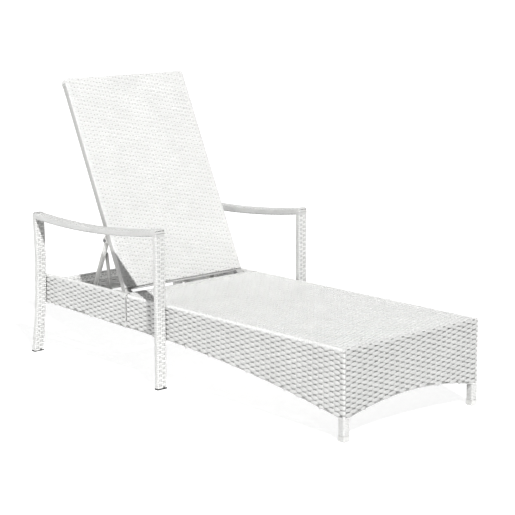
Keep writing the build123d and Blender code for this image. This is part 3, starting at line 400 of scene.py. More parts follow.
def coated_metal(name, colour, worn, rough=0.42, metallic=0.0):
    """Powder-coated or plated metal: faint orange peel, and wear on the edges."""
    m, nt, b = new_material(name)
    b.inputs["Metallic"].default_value = metallic
    coord = node(nt, "TexCoord")
    peel = node(nt, "TexNoise", Scale=900.0, Detail=2.0, Roughness=0.5)
    cloud = node(nt, "TexNoise", Scale=22.0, Detail=5.0, Roughness=0.6)
    for n in (peel, cloud):
        nt.links.new(coord.outputs["Object"], n.inputs["Vector"])
    duller = tuple(0.93 * x for x in colour)
    base = ramp(nt, cloud.outputs["Fac"], ((0.35, duller), (0.65, colour)))
    geo = node(nt, "NewGeometry")
    edge = ramp(nt, geo.outputs["Pointiness"], ((0.56, (0, 0, 0)), (0.66, (1, 1, 1))))
    scuff = node(nt, "Math", operation="MULTIPLY")
    nt.links.new(edge, scuff.inputs[0])
    nt.links.new(cloud.outputs["Fac"], scuff.inputs[1])
    mix = node(nt, "MixRGB", blend_type="MIX")
    mix.inputs[2].default_value = (*worn, 1)
    nt.links.new(scuff.outputs[0], mix.inputs[0])
    nt.links.new(base, mix.inputs[1])
    nt.links.new(mix.outputs[0], b.inputs["Base Color"])
    r = ramp(nt, cloud.outputs["Fac"], ((0.3, (rough + 0.1,) * 3), (0.7, (rough - 0.06,) * 3)))
    nt.links.new(r, b.inputs["Roughness"])
    bump = node(nt, "Bump", Strength=0.15, Distance=0.0002)
    nt.links.new(peel.outputs["Fac"], bump.inputs["Height"])
    nt.links.new(bump.outputs[0], b.inputs["Normal"])
    return m


# colours: on top and in the dips; the dip colour is painted shade
WEAVE = strand_material("resin_strand", (0.87, 0.87, 0.865), (0.5, 0.5, 0.49))
# the copies below are the same white resin as the first, made darker as painted shade, each set to the tone its
# faces show under the light
SKIRT = strand_material("resin_skirt_strand_painted_shade", (0.70, 0.70, 0.695), (0.34, 0.34, 0.335))
SIDE = strand_material("resin_side_strand_painted_shade", (0.79, 0.79, 0.785), (0.45, 0.45, 0.445))
BACK = strand_material("resin_back_strand_painted_shade", (0.82, 0.82, 0.815), (0.5, 0.5, 0.49))
ARM = strand_material("resin_arm_wrap_painted_shade", (0.75, 0.75, 0.745), (0.16, 0.16, 0.155), 1300.0)
WRAP = strand_material("resin_wrap_painted_shade", (0.80, 0.80, 0.795), (0.44, 0.44, 0.435), 1300.0)
EDGE = strand_material("resin_edge_wrap_painted_shade", (0.66, 0.66, 0.655), (0.58, 0.58, 0.575), 1300.0)
# colours: whole and worn
COAT = coated_metal("white_powder_coat", (0.84, 0.84, 0.83), (0.62, 0.62, 0.6))
BRACKET = coated_metal("bracket_coat", (0.80, 0.80, 0.79), (0.5, 0.5, 0.49), 0.38)
STEEL = coated_metal("plated_steel", (0.42, 0.42, 0.43), (0.62, 0.62, 0.62), 0.34, 1.0)
PLASTIC = coated_metal("moulded_foot", (0.78, 0.78, 0.77), (0.6, 0.6, 0.59), 0.5)
DARK = coated_metal("dark_plastic", (0.05, 0.05, 0.05), (0.16, 0.16, 0.16), 0.5)
BY_SLOT = {
    "weave": WEAVE,
    "wrapped_frame": WRAP,
    "frame_tube": COAT,
    "bracket_steel": BRACKET,
    "bolt_steel": STEEL,
    "foot_plastic": PLASTIC,
    "dark_plastic": DARK,
}
for part in frame["record"]["subparts"]:
    ob = nodes[part["node"]]
    ob.data.materials.clear()
    ob.data.materials.append(BY_SLOT[part["material_slot"]])
# the backrest's own side rails show beside its turns of strand, and take the darker edge colour as painted shade
# of the backrest's sides
for side, sx in SIDES:
    nodes[f"back_side_rail_{side}"].data.materials[0] = EDGE

# ---------------------------------------------------------------- skirts
LEG_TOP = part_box("front_side_skirt_left")[0].z
LEG_BACK = FOOT_Y + 28 * MM
SEAM_LOW = 184 * MM        # lower edge of the side skirts at the seam
ARC_RISE = 25 * MM
SKIRT_TOP = DECK_Z - ROLL
ROW_CLEAR = 3.5 * MM       # the middle of a row stays this far above the lower edge
STAKE_CLEAR = 3 * MM       # and a stake stops this far above it
CORNER_IN = 5 * MM         # centre of the corner turns, in from both faces
CORNER_RADIUS = (3.4 * MM, 4.6 * MM)       # of a sunk turn and of a raised one
CORNER_WIDTH = (8.8 * MM, 12.6 * MM)
CORNER_SHADE = (0.8, 0.0)
CORNER_TAIL = 4.5 * MM     # straight part at each end of a turn
CORNER_TUCK = 1.2 * MM     # how far its tip goes in behind the skirt
# height above the skirts, inset and width of the two narrower turns that close the
# corner under the deck
CLOSING_TURNS = ((3.6 * MM, 1.4 * MM, 8.0 * MM), (5.6 * MM, 3.0 * MM, 4.4 * MM))


def arc_height(y, y0, z0, y1, z1, rise):
    """Height of a shallow arch from (y0, z0) to (y1, z1) that rises above its chord."""
    f = np.clip((y - y0) / (y1 - y0), 0, 1)
    return z0 + (z1 - z0) * f + 4 * rise * f * (1 - f)


def skirt_low(y):
    """Lower edge of a side skirt."""
    return arc_height(y, LEG_BACK, LEG_TOP, SEAM_Y, SEAM_LOW, ARC_RISE)


def low_crossings(z, low, u0, u1):
    """Stretches of u where the arch lies under z."""
    s = np.linspace(u0, u1, 600)
    inside = low(s) <= z
    spans = []
    start = None
    for a, ok in zip(s, inside):
        if ok and start is None:
            start = a
        if not ok and start is not None:
            spans.append((start, a))
            start = None
    if start is not None:
        spans.append((start, s[-1]))
    return spans


def rows_down(top, bottom):
    """Number and height of each row from top to bottom."""
    return [(i, top - (i + 0.5) * ROW) for i in range(int((top - bottom) / ROW) + 1)]


def corner_turn(out, sx, i, z, inset=0.0, width=None):
    """Strand i taken round the upright foot-end corner at height z, every other one sunk."""
    r = CORNER_RADIUS[i % 2] - inset
    a = np.radians(np.linspace(0, 90, 6))
    x = sx * (HALF - CORNER_IN + r * np.cos(a))
    arc = track(x, FOOT_Y + CORNER_IN - r * np.sin(a), z)
    nrm = track(sx * np.cos(a), -np.sin(a), 0)
    pts = np.vstack([arc[:1] + CORNER_TAIL * Y, arc, arc[-1:] - sx * CORNER_TAIL * X])
    pts[0, 0] -= sx * CORNER_TUCK
    pts[-1, 1] += CORNER_TUCK
    nrm = np.vstack([nrm[:1], nrm, nrm[-1:]])
    shade = np.full(len(pts), CORNER_SHADE[i % 2])
    out.add(pts, nrm, width or CORNER_WIDTH[i % 2], 1.8 * MM, deep=shade)


for side, sx in SIDES:
    out = Strands(CROWN)
    face = np.array([sx * HALF, 0.0, 0.0])
    rows = rows_down(SKIRT_TOP, LEG_TOP + 4 * MM)
    plain_rows(
        out, face, Y, Z, sx * X, rows,
        lambda z: low_crossings(z - ROW_CLEAR, skirt_low, FOOT_Y + 6 * MM, SEAM_Y - 4 * MM),
    )
    stakes(
        out, face + SKIRT_TOP * Z, Y, Z, sx * X, stake_places(FOOT_Y + 8 * MM, SEAM_Y - 6 * MM),
        lambda y: [(skirt_low(y) + STAKE_CLEAR - SKIRT_TOP, 3 * MM)],
    )
    # cord along the arched hem, then up the seam
    x = sx * (HALF - SKIRT_DEEP)
    ys = np.linspace(LEG_BACK - 26 * MM, SEAM_Y - 2 * MM, 130)
    zs = np.where(ys < LEG_BACK, LEG_TOP, skirt_low(ys)) + HEM / 2
    out.add(track(x, ys, zs), sx * X, HEM, HEM)
    zs = np.linspace(SEAM_LOW, DECK_Z - 6 * MM, 20)
    out.add(track(x, SEAM_Y - 2 * MM, zs), sx * X, HEM, HEM)
    for i, z in rows:
        corner_turn(out, sx, i, z)
    for lift, inset, width in CLOSING_TURNS:
        corner_turn(out, sx, -1, SKIRT_TOP + lift, inset, width)
    out.make(f"front_side_strands_{side}", "base", SIDE, (f"front_side_skirt_{side}",))

# foot-end skirt
FOOT_IN = 302 * MM         # the arch ends this far from the middle
FOOT_ARCH = 116 * MM       # height of its top
FOOT_ROW_END = HALF - 7 * MM
ACROSS = [(k, k * STAKE) for k in range(-12, 13)]
ROLL_AMP = 0.8 * MM        # wave of the weave on the rolled edge
ROLL_DEEP = 2.2 * MM


def foot_low(x):
    """Lower edge of the foot-end skirt."""
    return arc_height(x, -FOOT_IN, LEG_TOP, FOOT_IN, LEG_TOP, FOOT_ARCH - LEG_TOP)


out = Strands(CROWN)
face = np.array([0.0, FOOT_Y, 0.0])
plain_rows(
    out, face, X, Z, -Y, rows_down(SKIRT_TOP, LEG_TOP + 4 * MM),
    lambda z: low_crossings(z - ROW_CLEAR, foot_low, -FOOT_ROW_END, FOOT_ROW_END),
)
# the row that lies on the rolled edge between the skirt and the deck
tilt = (ROW / 2) / ROLL
edge = -math.cos(tilt) * Y + math.sin(tilt) * Z
plain_rows(
    out, np.array([0.0, FOOT_Y + ROLL, DECK_Z - ROLL]) + ROLL * edge, X, np.cross(X, -edge), edge,
    [(-1, 0.0)], lambda v: [(-FOOT_ROW_END, FOOT_ROW_END)], amp=ROLL_AMP, mid=-ROLL_DEEP,
)
stakes(
    out, face + SKIRT_TOP * Z, X, Z, -Y, ACROSS,
    lambda x: [(foot_low(x) + STAKE_CLEAR - SKIRT_TOP, 1 * MM)],
)
xs = np.linspace(-FOOT_IN - 20 * MM, FOOT_IN + 20 * MM, 90)
zs = np.where(np.abs(xs) > FOOT_IN, LEG_TOP, foot_low(xs)) + HEM / 2
out.add(track(xs, FOOT_Y + SKIRT_DEEP, zs), -Y, HEM, HEM)
out.make("foot_strands", "base", SKIRT, ("foot_skirt",))

# ---------------------------------------------------------------- deck
DECK_MID = 2.0 * MM        # middle of the weave, under the top of the deck
DECK_AMP = 0.6 * MM
DECK_STEP = 4.27 * MM
DECK_WIDTH = 8.6 * MM
DECK_SWELL = 0.9 * MM      # how much wider a strand is where it runs over
DECK_THICK = 1.5 * MM
DECK_SHADE = 0.8
DECK_STAKE_AMP = 0.45 * MM
DECK_STAKE_WIDTH = 6.2 * MM
DECK_STAKE_SHADE = 0.3


def deck_row(y, i, x0, x1):
    """One strand across the deck: its points, its normals and where it runs over."""
    m = int(round((x1 - x0) / DECK_STEP)) + 1
    s = np.linspace(x0, x1, m)
    wave = square_wave(s / STAKE + i)
    return track(s, y, DECK_Z - DECK_MID + DECK_AMP * wave), np.tile(Z, (m, 1)), wave


def bend_down(p, n, wave, sx):
    """Adds a quarter turn over the edge at one end of a deck strand."""
    a = np.radians(np.linspace(15, 90, 5))
    r = ROLL - DECK_MID
    end = track(sx * (HALF - ROLL + r * np.sin(a)), p[0, 1], DECK_Z - ROLL + r * np.cos(a))
    end = np.vstack([end, end[-1] - 5 * MM * Z])
    end_n = np.vstack([track(sx * np.sin(a), 0, np.cos(a)), sx * X])
    parts = ((p, end), (n, end_n), (wave, np.zeros(len(end))))
    if sx > 0:
        return [np.concatenate([middle, tip]) for middle, tip in parts]
    return [np.concatenate([tip[::-1], middle]) for middle, tip in parts]


# the first deck row follows the one on the rolled edge at the same pitch
deck_first = FOOT_Y + ROLL + ROW - ROLL * math.pi / 2
deck_last = SEAM_Y - 3 * MM
deck_rows = int((deck_last - deck_first) / ROW)
half = deck_rows // 2
for tag, picks, replaced in (
    ("front", range(half), ("deck_weave",)),
    ("back", range(half, deck_rows), ()),
):
    out = Strands(FLAT)
    for i in picks:
        strand = deck_row(deck_first + (i + 0.5) * ROW, i, -HALF + ROLL, HALF - ROLL)
        p, n, wave = bend_down(*bend_down(*strand, 1), -1)
        wide = DECK_WIDTH + DECK_SWELL * np.clip(wave, 0, 1) ** 2
        out.add(p, n, wide, DECK_THICK, deep=DECK_SHADE * np.clip(-wave, 0, 1) ** 2)
    out.make(f"deck_strands_{tag}", "base", WEAVE, replaced)

out = Strands(FLAT)
a = np.radians(np.linspace(95, 40, 9))
lead_n = track(0, -np.sin(a), np.cos(a))
for k, x in ACROSS:
    s = np.arange(deck_first + ROW / 2, deck_last, ROW / 3)
    wave = -np.cos(math.pi * ((s - deck_first) / ROW - 0.5 + k))
    p = track(x, s, DECK_Z - DECK_MID + DECK_STAKE_AMP * wave)
    # over the rolled edge the stake dips under the row there or stands in front of it
    r = ROLL - DECK_MID
    r += ROLL_AMP * np.cos(math.pi * ((math.pi / 2 - a) * ROLL / ROW + 0.5 + k))
    lead = track(x, FOOT_Y + ROLL - r * np.sin(a), DECK_Z - ROLL + r * np.cos(a))
    out.add(
        np.vstack([lead, p]), np.vstack([lead_n, np.tile(Z, (len(s), 1))]),
        DECK_STAKE_WIDTH, DECK_THICK,
        deep=np.concatenate([np.zeros(len(a)), DECK_STAKE_SHADE * (1 - wave)]),
    )
# stakes of the side skirts brought up over the long edges
a = np.radians(np.linspace(100, -12, 9))
r = ROLL - 0.9 * MM
for side, sx in SIDES:
    for k, y in stake_places(FOOT_Y + 12 * MM, SEAM_Y - 8 * MM):
        if k % 2:
            p = track(sx * (HALF - ROLL + r * np.sin(a)), y, DECK_Z - ROLL + r * np.cos(a))
            out.add(p, track(sx * np.sin(a), 0, np.cos(a)), 6.5 * MM, 1.4 * MM)
# closing strand along the seam
xs = np.linspace(-HALF + 4 * MM, HALF - 4 * MM, 60)
out.add(track(xs, SEAM_Y - 2.2 * MM, DECK_Z - 2.4 * MM), Z, 4.2 * MM, 4.0 * MM)
out.make("deck_stakes", "base", WEAVE)

# ---------------------------------------------------------------- rear module
PANEL_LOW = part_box("rear_side_panel_left")[0].z
PANEL_HIGH_LOW = 201 * MM  # lower edge of the side panels at the head end
PANEL_TOP = DECK_Z - 6 * MM
RAIL_W = 28 * MM
RAIL_T = 30 * MM
RAIL_SET_BACK = 4 * MM     # how far the turns on a side rail stay in from the panel's face
TURN_WIDTH = 8.6 * MM
TURN_THICK = 1.8 * MM


def panel_low(y):
    """Lower edge of a rear side panel."""
    return PANEL_LOW + (PANEL_HIGH_LOW - PANEL_LOW) * (y - REAR_Y) / (REAR_END - REAR_Y)


for side, sx in SIDES:
    out = Strands(CROWN)
    face = np.array([sx * HALF, 0.0, 0.0])
    plain_rows(
        out, face, Y, Z, sx * X, rows_down(PANEL_TOP, PANEL_LOW + 3 * MM),
        lambda z: low_crossings(z - ROW_CLEAR, panel_low, REAR_Y + 5 * MM, REAR_END - 3 * MM),
    )
    stakes(
        out, face + PANEL_TOP * Z, Y, Z, sx * X, stake_places(REAR_Y + 8 * MM, REAR_END - 5 * MM),
        lambda y: [(panel_low(y) + STAKE_CLEAR - PANEL_TOP, 3 * MM)],
    )
    # cord along the lower edge, then up both ends
    ys = np.linspace(REAR_Y + 2 * MM, REAR_END - 2 * MM, 60)
    out.add(track(sx * (HALF - SKIRT_DEEP), ys, panel_low(ys) + HEM / 2), sx * X, HEM, HEM)
    for y, w in ((REAR_Y + 2.4 * MM, 4.8 * MM), (REAR_END - 2.4 * MM, 4.6 * MM)):
        zs = np.linspace(panel_low(y), DECK_Z - 3 * MM, 24)
        out.add(track(sx * (HALF - 2.3 * MM), y, zs), sx * X, w, 4.8 * MM)
    out.make(f"rear_side_strands_{side}", "base", SIDE, (f"rear_side_panel_{side}",))

    out = Strands(FLAT)
    centre_x = sx * (HALF - (RAIL_W + RAIL_SET_BACK) / 2)
    core_x = sorted((sx * (HALF - RAIL_SET_BACK - 3 * MM), sx * (HALF - RAIL_W + 2 * MM)))
    out.box(
        (core_x[0], REAR_Y + 2 * MM, DECK_Z - RAIL_T + 2 * MM),
        (core_x[1], REAR_END - 2 * MM, DECK_Z - 2 * MM),
    )
    count = int((REAR_END - REAR_Y) / ROW)
    q, n = superbox(RAIL_W - RAIL_SET_BACK - 2 * MM, RAIL_T - TURN_THICK, 6 * MM, 6 * MM)
    for i in range(count):
        y = REAR_Y + (i + 0.5) * (REAR_END - REAR_Y) / count
        p = track(centre_x + q[:, 0], y, DECK_Z - RAIL_T / 2 + q[:, 1])
        out.add(p, track(n[:, 0], 0, n[:, 1]), TURN_WIDTH, TURN_THICK, loop=True)
    out.make(f"rear_rail_wrap_{side}", "base", WRAP, (f"rear_side_rail_{side}",))

# cross rails wrapped turn by turn
for name, lanes in (("hinge_rail", ()), ("rear_cross_rail", (-7 * MM, 7 * MM))):
    lo, hi = (np.array(v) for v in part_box(name))
    out = Strands(FLAT)
    mid = (lo + hi) / 2
    w, t = hi[2] - lo[2], hi[1] - lo[1]
    inset = np.array([1 * MM, 2.4 * MM, 2.4 * MM])
    out.box(lo + inset, hi - inset)
    count = int((hi[0] - lo[0]) / ROW)
    for i in range(count):
        centre = np.array([lo[0] + (i + 0.5) * (hi[0] - lo[0]) / count, mid[1], mid[2]])
        wraps(out, centre, Z, Y, w, t, 5 * MM, TURN_WIDTH, TURN_THICK, lanes, 0.9 * MM, i)
    for lane in lanes:
        for f in (-1, 1):
            s = np.arange(lo[0] + 2 * MM, hi[0] - 2 * MM, ROW / 2)
            p = track(s, mid[1] + f * (t / 2 - STRIP_DEEP), mid[2] + lane)
            out.add(p, f * Y, 6 * MM, 1.5 * MM)
    out.make(f"{name}_wrap", "base", WRAP, (name,))

# woven head-end panel
lo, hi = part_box("rear_panel")
out = Strands(CROWN)
plain_rows(
    out, np.array([0.0, REAR_END, 0.0]), X, Z, Y, rows_down(hi.z, lo.z + 2 * MM),
    lambda z: [(-HALF + 8 * MM, HALF - 8 * MM)],
)
stakes(
    out, np.array([0.0, REAR_END, hi.z]), X, Z, Y, ACROSS,
    lambda x: [(lo.z - hi.z + 2 * MM, 0.0)],
)
xs = np.linspace(-HALF + 6 * MM, HALF - 6 * MM, 60)
out.add(track(xs, REAR_END - SKIRT_DEEP, lo.z + HEM / 2), Y, HEM, HEM)
out.make("rear_strands", "base", SKIRT, ("rear_panel",))

# ---------------------------------------------------------------- foot-end legs
LEG_PITCH = 5.5 * MM
LEG_SIDE = 28 * MM
LEG_CORE = np.array([2.2 * MM, 2.2 * MM, 0.0])     # the core is smaller by this on each side
for side, sx in SIDES:
    lo, hi = (np.array(v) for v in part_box(f"front_leg_{side}"))
    out = Strands(CROWN)
    mid = (lo + hi) / 2
    out.box(lo + LEG_CORE, hi - LEG_CORE)
    for i in range(int((LEG_TOP + 4 * MM - lo[2]) / LEG_PITCH)):
        wraps(
            out, np.array([mid[0], mid[1], lo[2] + (i + 0.5) * LEG_PITCH]), X, Y,
            LEG_SIDE, LEG_SIDE, 3.5 * MM, 5.4 * MM, 2.2 * MM, m=5 * MM,
        )
    out.make(f"front_leg_wrap_{side}", "base", WRAP, (f"front_leg_{side}",))

# ---------------------------------------------------------------- arms
ARM_THICK = 24 * MM
LEG_THICK = 20 * MM
BOW_THICK = 21.5 * MM
ARM_LOW_Y = FOOT_Y + 1410 * MM     # lowest place of the dished armrest
ARM_LOW_Z = 551 * MM
ARM_DISH = 6.6
BOW_Y = FOOT_Y + 1671.5 * MM       # foremost place of the bowed rear leg
BOW_Z = 390 * MM
BOW_DISH = 4.11
CORNER_TURNS = 6           # fanned turns at each corner of an armrest


def arm_top(y):
    return ARM_LOW_Z + (y - ARM_LOW_Y) ** 2 / ARM_DISH


def bow_rear(z):
    return BOW_Y + (z - BOW_Z) ** 2 / BOW_DISH


def bar_core(out, path, side, faces, w, deep):
    """A solid swept core just inside the turns of strand."""
    v = []
    for p, f, t in zip(path, faces, deep):
        for a, b in ((-1, -1), (1, -1), (1, 1), (-1, 1)):
            v.append(p + side * a * (w / 2 - BAR_CORE) + f * b * (t / 2 - BAR_CORE))
    m = len(path)
    quads = [
        (i * 4 + j, i * 4 + (j + 1) % 4, (i + 1) * 4 + (j + 1) % 4, (i + 1) * 4 + j)
        for i in range(m - 1)
        for j in range(4)
    ]
    last = (m - 1) * 4
    out.solid(v, quads + [(3, 2, 1, 0), (last, last + 1, last + 2, last + 3)])


def even(path, faces, deep, pitch):
    """Stations evenly spread along a path: centre, facing direction and depth."""
    run = np.concatenate([[0], np.cumsum(np.linalg.norm(np.diff(path, axis=0), axis=1))])
    count = max(1, int(round(run[-1] / pitch)))
    at = (np.arange(count) + 0.5) * run[-1] / count
    pts = np.stack([np.interp(at, run, path[:, k]) for k in range(3)], 1)
    fcs = unit(np.stack([np.interp(at, run, faces[:, k]) for k in range(3)], 1))
    return pts, fcs, np.full(count, deep)


def fan(pivot, first, last, a, b, count, power=9.0):
    """Stations round a corner, hinged on its inner edge.

    first and last are the facing directions at its two ends, a and b the depths there.
    """
    q = (np.arange(count) + 0.5) / count * math.pi / 2
    c, s = np.cos(q), np.sin(q)
    reach = ((c / a) ** power + (s / b) ** power) ** (-1 / power)
    d = unit(c[:, None] * first + s[:, None] * last)
    return pivot + d * (reach / 2)[:, None], d, reach


def strip(out, side, stations, lane, f):
    """A lengthwise strip on the outer (f = 1) or inner (f = -1) face of a bar."""
    pts, fcs, deep = (np.concatenate(part) for part in zip(*stations))
    p = pts + lane * side + f * fcs * (deep / 2 - STRIP_DEEP)[:, None]
    out.add(p, f * fcs, STRIP_WIDTH, STRIP_THICK)


def wrapped_bar(out, side, stations, w, pivots=(), width=8.9 * MM, lanes=LANES):
    """Turns of strand at the stations, with lengthwise strips that they cross."""
    pts, fcs, deep = (np.concatenate(part) for part in zip(*stations))
    for i, (p, f, t) in enumerate(zip(pts, fcs, deep)):
        fanned = any(np.linalg.norm(p - f * t / 2 - v) < 0.5 * MM for v in pivots)
        wraps(
            out, p, side, f, w, t, 4.0 * MM, width, 1.9 * MM,
            () if fanned else lanes, LANE_DIP, i, 1.7 * MM, fanned,
        )
    for lane in lanes:
        strip(out, side, stations, lane, 1)
        # the inner strips leave out the corners
        strip(out, side, [s for s in stations if len(s[0]) > CORNER_TURNS], lane, -1)
    bar_core(out, pts, side, fcs, w, deep)


for side, sx in SIDES:
    lo, hi = (np.array(v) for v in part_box(f"arm_front_leg_{side}"))
    x = (lo[0] + hi[0]) / 2
    w = hi[0] - lo[0]
    leg_inner = (lo[1] + hi[1]) / 2 + LEG_THICK / 2
    front_pivot = np.array([x, leg_inner, arm_top(leg_inner) - ARM_THICK])
    # front leg
    out = Strands(CROWN)
    zs = np.linspace(lo[2], front_pivot[2], 30)
    path = track(x, leg_inner - LEG_THICK / 2, zs)
    wrapped_bar(out, X, [even(path, np.tile(-Y, (30, 1)), LEG_THICK, ROW)], w)
    name = f"arm_front_leg_{side}"
    out.make(f"arm_front_leg_wrap_{side}", "base", WRAP, (name,))
    # rear leg, up to where the inner faces of the leg and of the armrest meet
    lo, hi = (np.array(v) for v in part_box(f"arm_rear_leg_{side}"))
    z = hi[2]
    for _ in range(6):
        rear_inner = bow_rear(z) - BOW_THICK
        z = arm_top(rear_inner) - ARM_THICK
    rear_pivot = np.array([x, rear_inner, z])
    out = Strands(CROWN)
    zs = np.linspace(z, lo[2], 60)
    path = track(x, bow_rear(zs) - BOW_THICK / 2, zs)
    faces = unit(track(0, 1, -2 * (zs - BOW_Z) / BOW_DISH))
    wrapped_bar(out, X, [even(path, faces, BOW_THICK, ROW)], w)
    out.make(f"arm_rear_leg_wrap_{side}", "base", WRAP, (f"arm_rear_leg_{side}",))
    # armrest, with the turns fanned round both of its corners
    out = Strands(CROWN)
    ys = np.linspace(leg_inner, rear_inner, 90)
    path = track(x, ys, arm_top(ys) - ARM_THICK / 2)
    tops = unit(track(0, -2 * (ys - ARM_LOW_Y) / ARM_DISH, 1))
    stations = [
        fan(front_pivot, -Y, tops[0], LEG_THICK, ARM_THICK, CORNER_TURNS),
        even(path, tops, ARM_THICK, ROW),
        fan(rear_pivot, tops[-1], faces[0], ARM_THICK, BOW_THICK, CORNER_TURNS),
    ]
    wrapped_bar(out, X, stations, w, (front_pivot, rear_pivot))
    out.make(f"armrest_wrap_{side}", "base", ARM, (f"armrest_{side}",))

# ---------------------------------------------------------------- backrest
BACK_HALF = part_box("back_weave")[1].x
BACK_START = 16.6 * MM     # the frame's two ends, measured up from the hinge
BACK_END = 863.6 * MM
BACK_THICK = 27 * MM
BACK_CORNER = 14 * MM
BACK_AMP = 0.7 * MM
BACK_MID = 1.5 * MM        # middle of the weave, in from its outer face
BACK_DIP = 4.6 * MM        # reach of a dip on either side of a stake
BACK_STEP = 3.4 * MM
BACK_WIDTH = 5.8 * MM
BACK_SWELL = 2.4 * MM      # how much a strand spreads where both beside it dip
BACK_FOLD = 4 * MM         # radius its ends turn back round the frame at
PAIR = 6.85 * MM           # half the distance between the stakes of a pair
front_face = AXIS - BEHIND * (BACK_THICK / 2)


def twill(s, i):
    """+1 where backrest strand i runs over, -1 where it dips under a stake.

    It runs over two pairs of stakes and under both stakes of the third.
    """
    k = np.floor(s / BACK_STAKE + 0.5)
    under = (i + k) % 3 == 0
    off = np.abs(s - k * BACK_STAKE) - PAIR
    return 1 - 2 * under * np.exp(-((off / BACK_DIP) ** 2))


back_rows = int((BACK_END - BACK_START - 1.5 * MM) / BACK_ROW)
half = back_rows // 2
fold = np.radians([30, 60, 85])
drop = BACK_FOLD * (1 - np.cos(fold))
for tag, picks, replaced in (
    ("low", range(half), ("back_weave",)),
    ("high", range(half, back_rows), ()),
):
    out = Strands(FLAT)
    for i in picks:
        v = BACK_END - 0.5 * MM - (back_rows - i - 0.5) * BACK_ROW
        reach = BACK_HALF - 5 * MM
        left = BACK_END - v
        if left < BACK_CORNER:
            reach -= BACK_CORNER - math.sqrt(max(BACK_CORNER**2 - (BACK_CORNER - left) ** 2, 0))
        m = int(round(2 * reach / BACK_STEP)) + 1
        s = np.linspace(-reach, reach, m)
        w = twill(s, i)
        beside = 1 - (twill(s, i - 1) + twill(s, i + 1)) / 2
        # both ends turn back round the frame, three points each
        ends = reach + BACK_FOLD * np.sin(fold)
        s = np.concatenate([-ends[::-1], s, ends])
        back = BACK_MID - BACK_AMP * np.pad(w, 3)
        back += np.concatenate([drop[::-1], np.zeros(m), drop])
        lean = np.concatenate([-fold[::-1], np.zeros(m), fold])
        p = front_face + s[:, None] * X + v * UP_BACK + back[:, None] * BEHIND
        n = np.sin(lean)[:, None] * X - np.cos(lean)[:, None] * BEHIND
        # painted shade where a strand dips under a pair of stakes
        low = np.pad(0.6 * np.clip(-w, 0, 1) ** 2, 3)
        out.add(p, n, BACK_WIDTH + BACK_SWELL * np.pad(beside, 3), 1.3 * MM, deep=low)
    out.make(f"back_strands_{tag}", "backrest", BACK, replaced)

out = Strands(FLAT)
for k in range(-10, 11):
    for x in (k * BACK_STAKE - PAIR, k * BACK_STAKE + PAIR):
        if abs(x) > BACK_HALF - 8 * MM:
            continue
        top = BACK_END - 3 * MM
        if abs(x) > BACK_HALF - BACK_CORNER:
            top -= 8 * MM
        v = np.arange(BACK_START + 3 * MM, top, BACK_ROW)
        p = front_face + x * X + v[:, None] * UP_BACK + BACK_MID * BEHIND
        # the stakes lie behind the rows and carry painted shade all along
        out.add(p, -BEHIND, 8.0 * MM, 0.9 * MM, deep=np.full(len(v), 0.7))
out.make("back_stakes", "backrest", BACK)

# turns of strand round the backrest frame, behind the woven face
EDGE_PITCH = 2 * BACK_ROW
EDGE_DEEP = BACK_THICK - 3.4 * MM
EDGE_WIDTH = 11.4 * MM
EDGE_FAN_WIDTH = 11.0 * MM
RAIL = 28 * MM
axis_in = AXIS + BEHIND * 1.7 * MM
for side, sx in SIDES:
    out = Strands(CROWN)
    cx = sx * (BACK_HALF - RAIL / 2)
    path = np.array([axis_in + cx * X + v * UP_BACK for v in (BACK_START, BACK_END - RAIL)])
    stations = [even(path, np.tile(sx * X, (2, 1)), RAIL, EDGE_PITCH)]
    wrapped_bar(out, BEHIND, stations, EDGE_DEEP, width=EDGE_WIDTH, lanes=())
    out.make(f"back_rail_wrap_{side}", "backrest", EDGE)

out = Strands(CROWN)
for v, f in ((BACK_END - RAIL / 2, UP_BACK), (BACK_START + RAIL / 2, -UP_BACK)):
    path = np.array([axis_in + s * (BACK_HALF - RAIL) * X + v * UP_BACK for s in (-1, 1)])
    stations = [even(path, np.tile(f, (2, 1)), RAIL, EDGE_PITCH)]
    wrapped_bar(out, BEHIND, stations, EDGE_DEEP, width=EDGE_WIDTH, lanes=())
for side, sx in SIDES:
    pivot = axis_in + sx * (BACK_HALF - RAIL) * X + (BACK_END - RAIL) * UP_BACK
    stations = [fan(pivot, sx * X, UP_BACK, RAIL, RAIL, 5, 3.2)]
    wrapped_bar(out, BEHIND, stations, EDGE_DEEP, (pivot,), EDGE_FAN_WIDTH, ())
out.make("back_edge_wrap", "backrest", EDGE)

# ---------------------------------------------------------------- stage, light, camera
BACKDROP_Y = 9.0           # where the floor starts to curve up into the backdrop
BACKDROP_R = 3.0
BACKDROP_TOP = 12.0
FLOOR_FRONT = -14.0
FLOOR_SIDES = (-24.0, 42.0)
FLOOR_GREY = 0.24
FLOOR_GLOW = 0.82          # its own light, which keeps it white round the shadow
SKY = 0.42
SUNS = (                   # name, strength, width in degrees, direction of travel
    ("key", 2.5, 1.6, (0.38, 0.87, -1.0)),
    ("fill", 0.35, 50.0, (1.0, -0.1, -0.2)),
)
LENS = 113.66
CAMERA_AT = (-3.91924, -4.41680, 1.58394)
CAMERA_TURN = (-42.081, 10.890, -0.257)    # azimuth, elevation and roll in degrees
GAMMA = 0.56

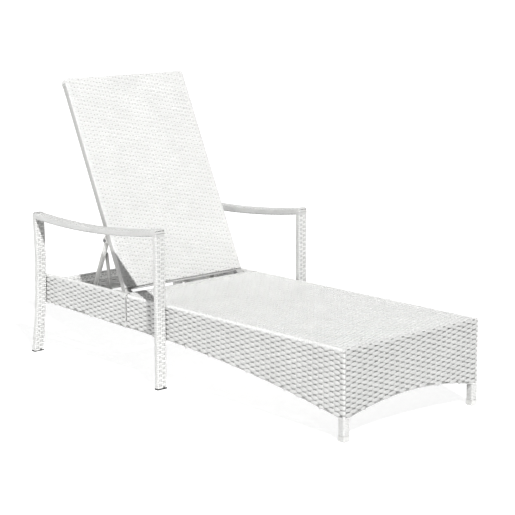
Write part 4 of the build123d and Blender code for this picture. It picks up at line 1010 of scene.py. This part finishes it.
run = [(FLOOR_FRONT, 0.0)]
run += [
    (BACKDROP_Y + BACKDROP_R * math.sin(a), BACKDROP_R * (1 - math.cos(a)))
    for a in np.radians(np.linspace(0, 90, 13))
]
run += [(BACKDROP_Y + BACKDROP_R, BACKDROP_TOP)]
sweep = [(x, y, z) for x in FLOOR_SIDES for y, z in run]
count = len(run)
sheet = bpy.data.meshes.new("floor")
sheet.from_pydata(sweep, [], [(i, i + 1, count + i + 1, count + i) for i in range(count - 1)])
sheet.polygons.foreach_set("use_smooth", [True] * len(sheet.polygons))
floor = bpy.data.objects.new("floor", sheet)
bpy.context.scene.collection.objects.link(floor)
m, nt, b = new_material("floor_paper")
b.inputs["Roughness"].default_value = 0.9
b.inputs["Base Color"].default_value = (FLOOR_GREY, FLOOR_GREY, FLOOR_GREY, 1)
b.inputs["Emission Color"].default_value = (1, 1, 1, 1)
b.inputs["Emission Strength"].default_value = FLOOR_GLOW
floor.data.materials.append(m)

world = bpy.data.worlds.new("studio")
bpy.context.scene.world = world
world.use_nodes = True
world.node_tree.nodes["Background"].inputs[0].default_value = (1, 1, 1, 1)
world.node_tree.nodes["Background"].inputs[1].default_value = SKY

for name, energy, spread, travel in SUNS:
    sun = bpy.data.lights.new(name, "SUN")
    sun.energy = energy
    sun.angle = math.radians(spread)
    sun_ob = bpy.data.objects.new(name, sun)
    bpy.context.scene.collection.objects.link(sun_ob)
    sun_ob.rotation_mode = "QUATERNION"
    sun_ob.rotation_quaternion = Vector(travel).to_track_quat("-Z", "Y")

cam = bpy.data.cameras.new("camera")
cam.sensor_width = 36.0
cam.lens = LENS
cam.clip_end = 100.0
cam_ob = bpy.data.objects.new("camera", cam)
bpy.context.scene.collection.objects.link(cam_ob)
azimuth, elevation, roll = (math.radians(a) for a in CAMERA_TURN)
back = Vector((
    math.sin(azimuth) * math.cos(elevation),
    -math.cos(azimuth) * math.cos(elevation),
    math.sin(elevation),
))
right = Vector((math.cos(azimuth), math.sin(azimuth), 0))
up = back.cross(right)
right2 = right * math.cos(roll) + up * math.sin(roll)
up2 = up * math.cos(roll) - right * math.sin(roll)
turn = Matrix((right2, up2, back)).transposed().to_4x4()
cam_ob.matrix_world = Matrix.Translation(CAMERA_AT) @ turn
bpy.context.scene.camera = cam_ob
bpy.context.scene.view_settings.view_transform = "Standard"
bpy.context.scene.view_settings.gamma = GAMMA
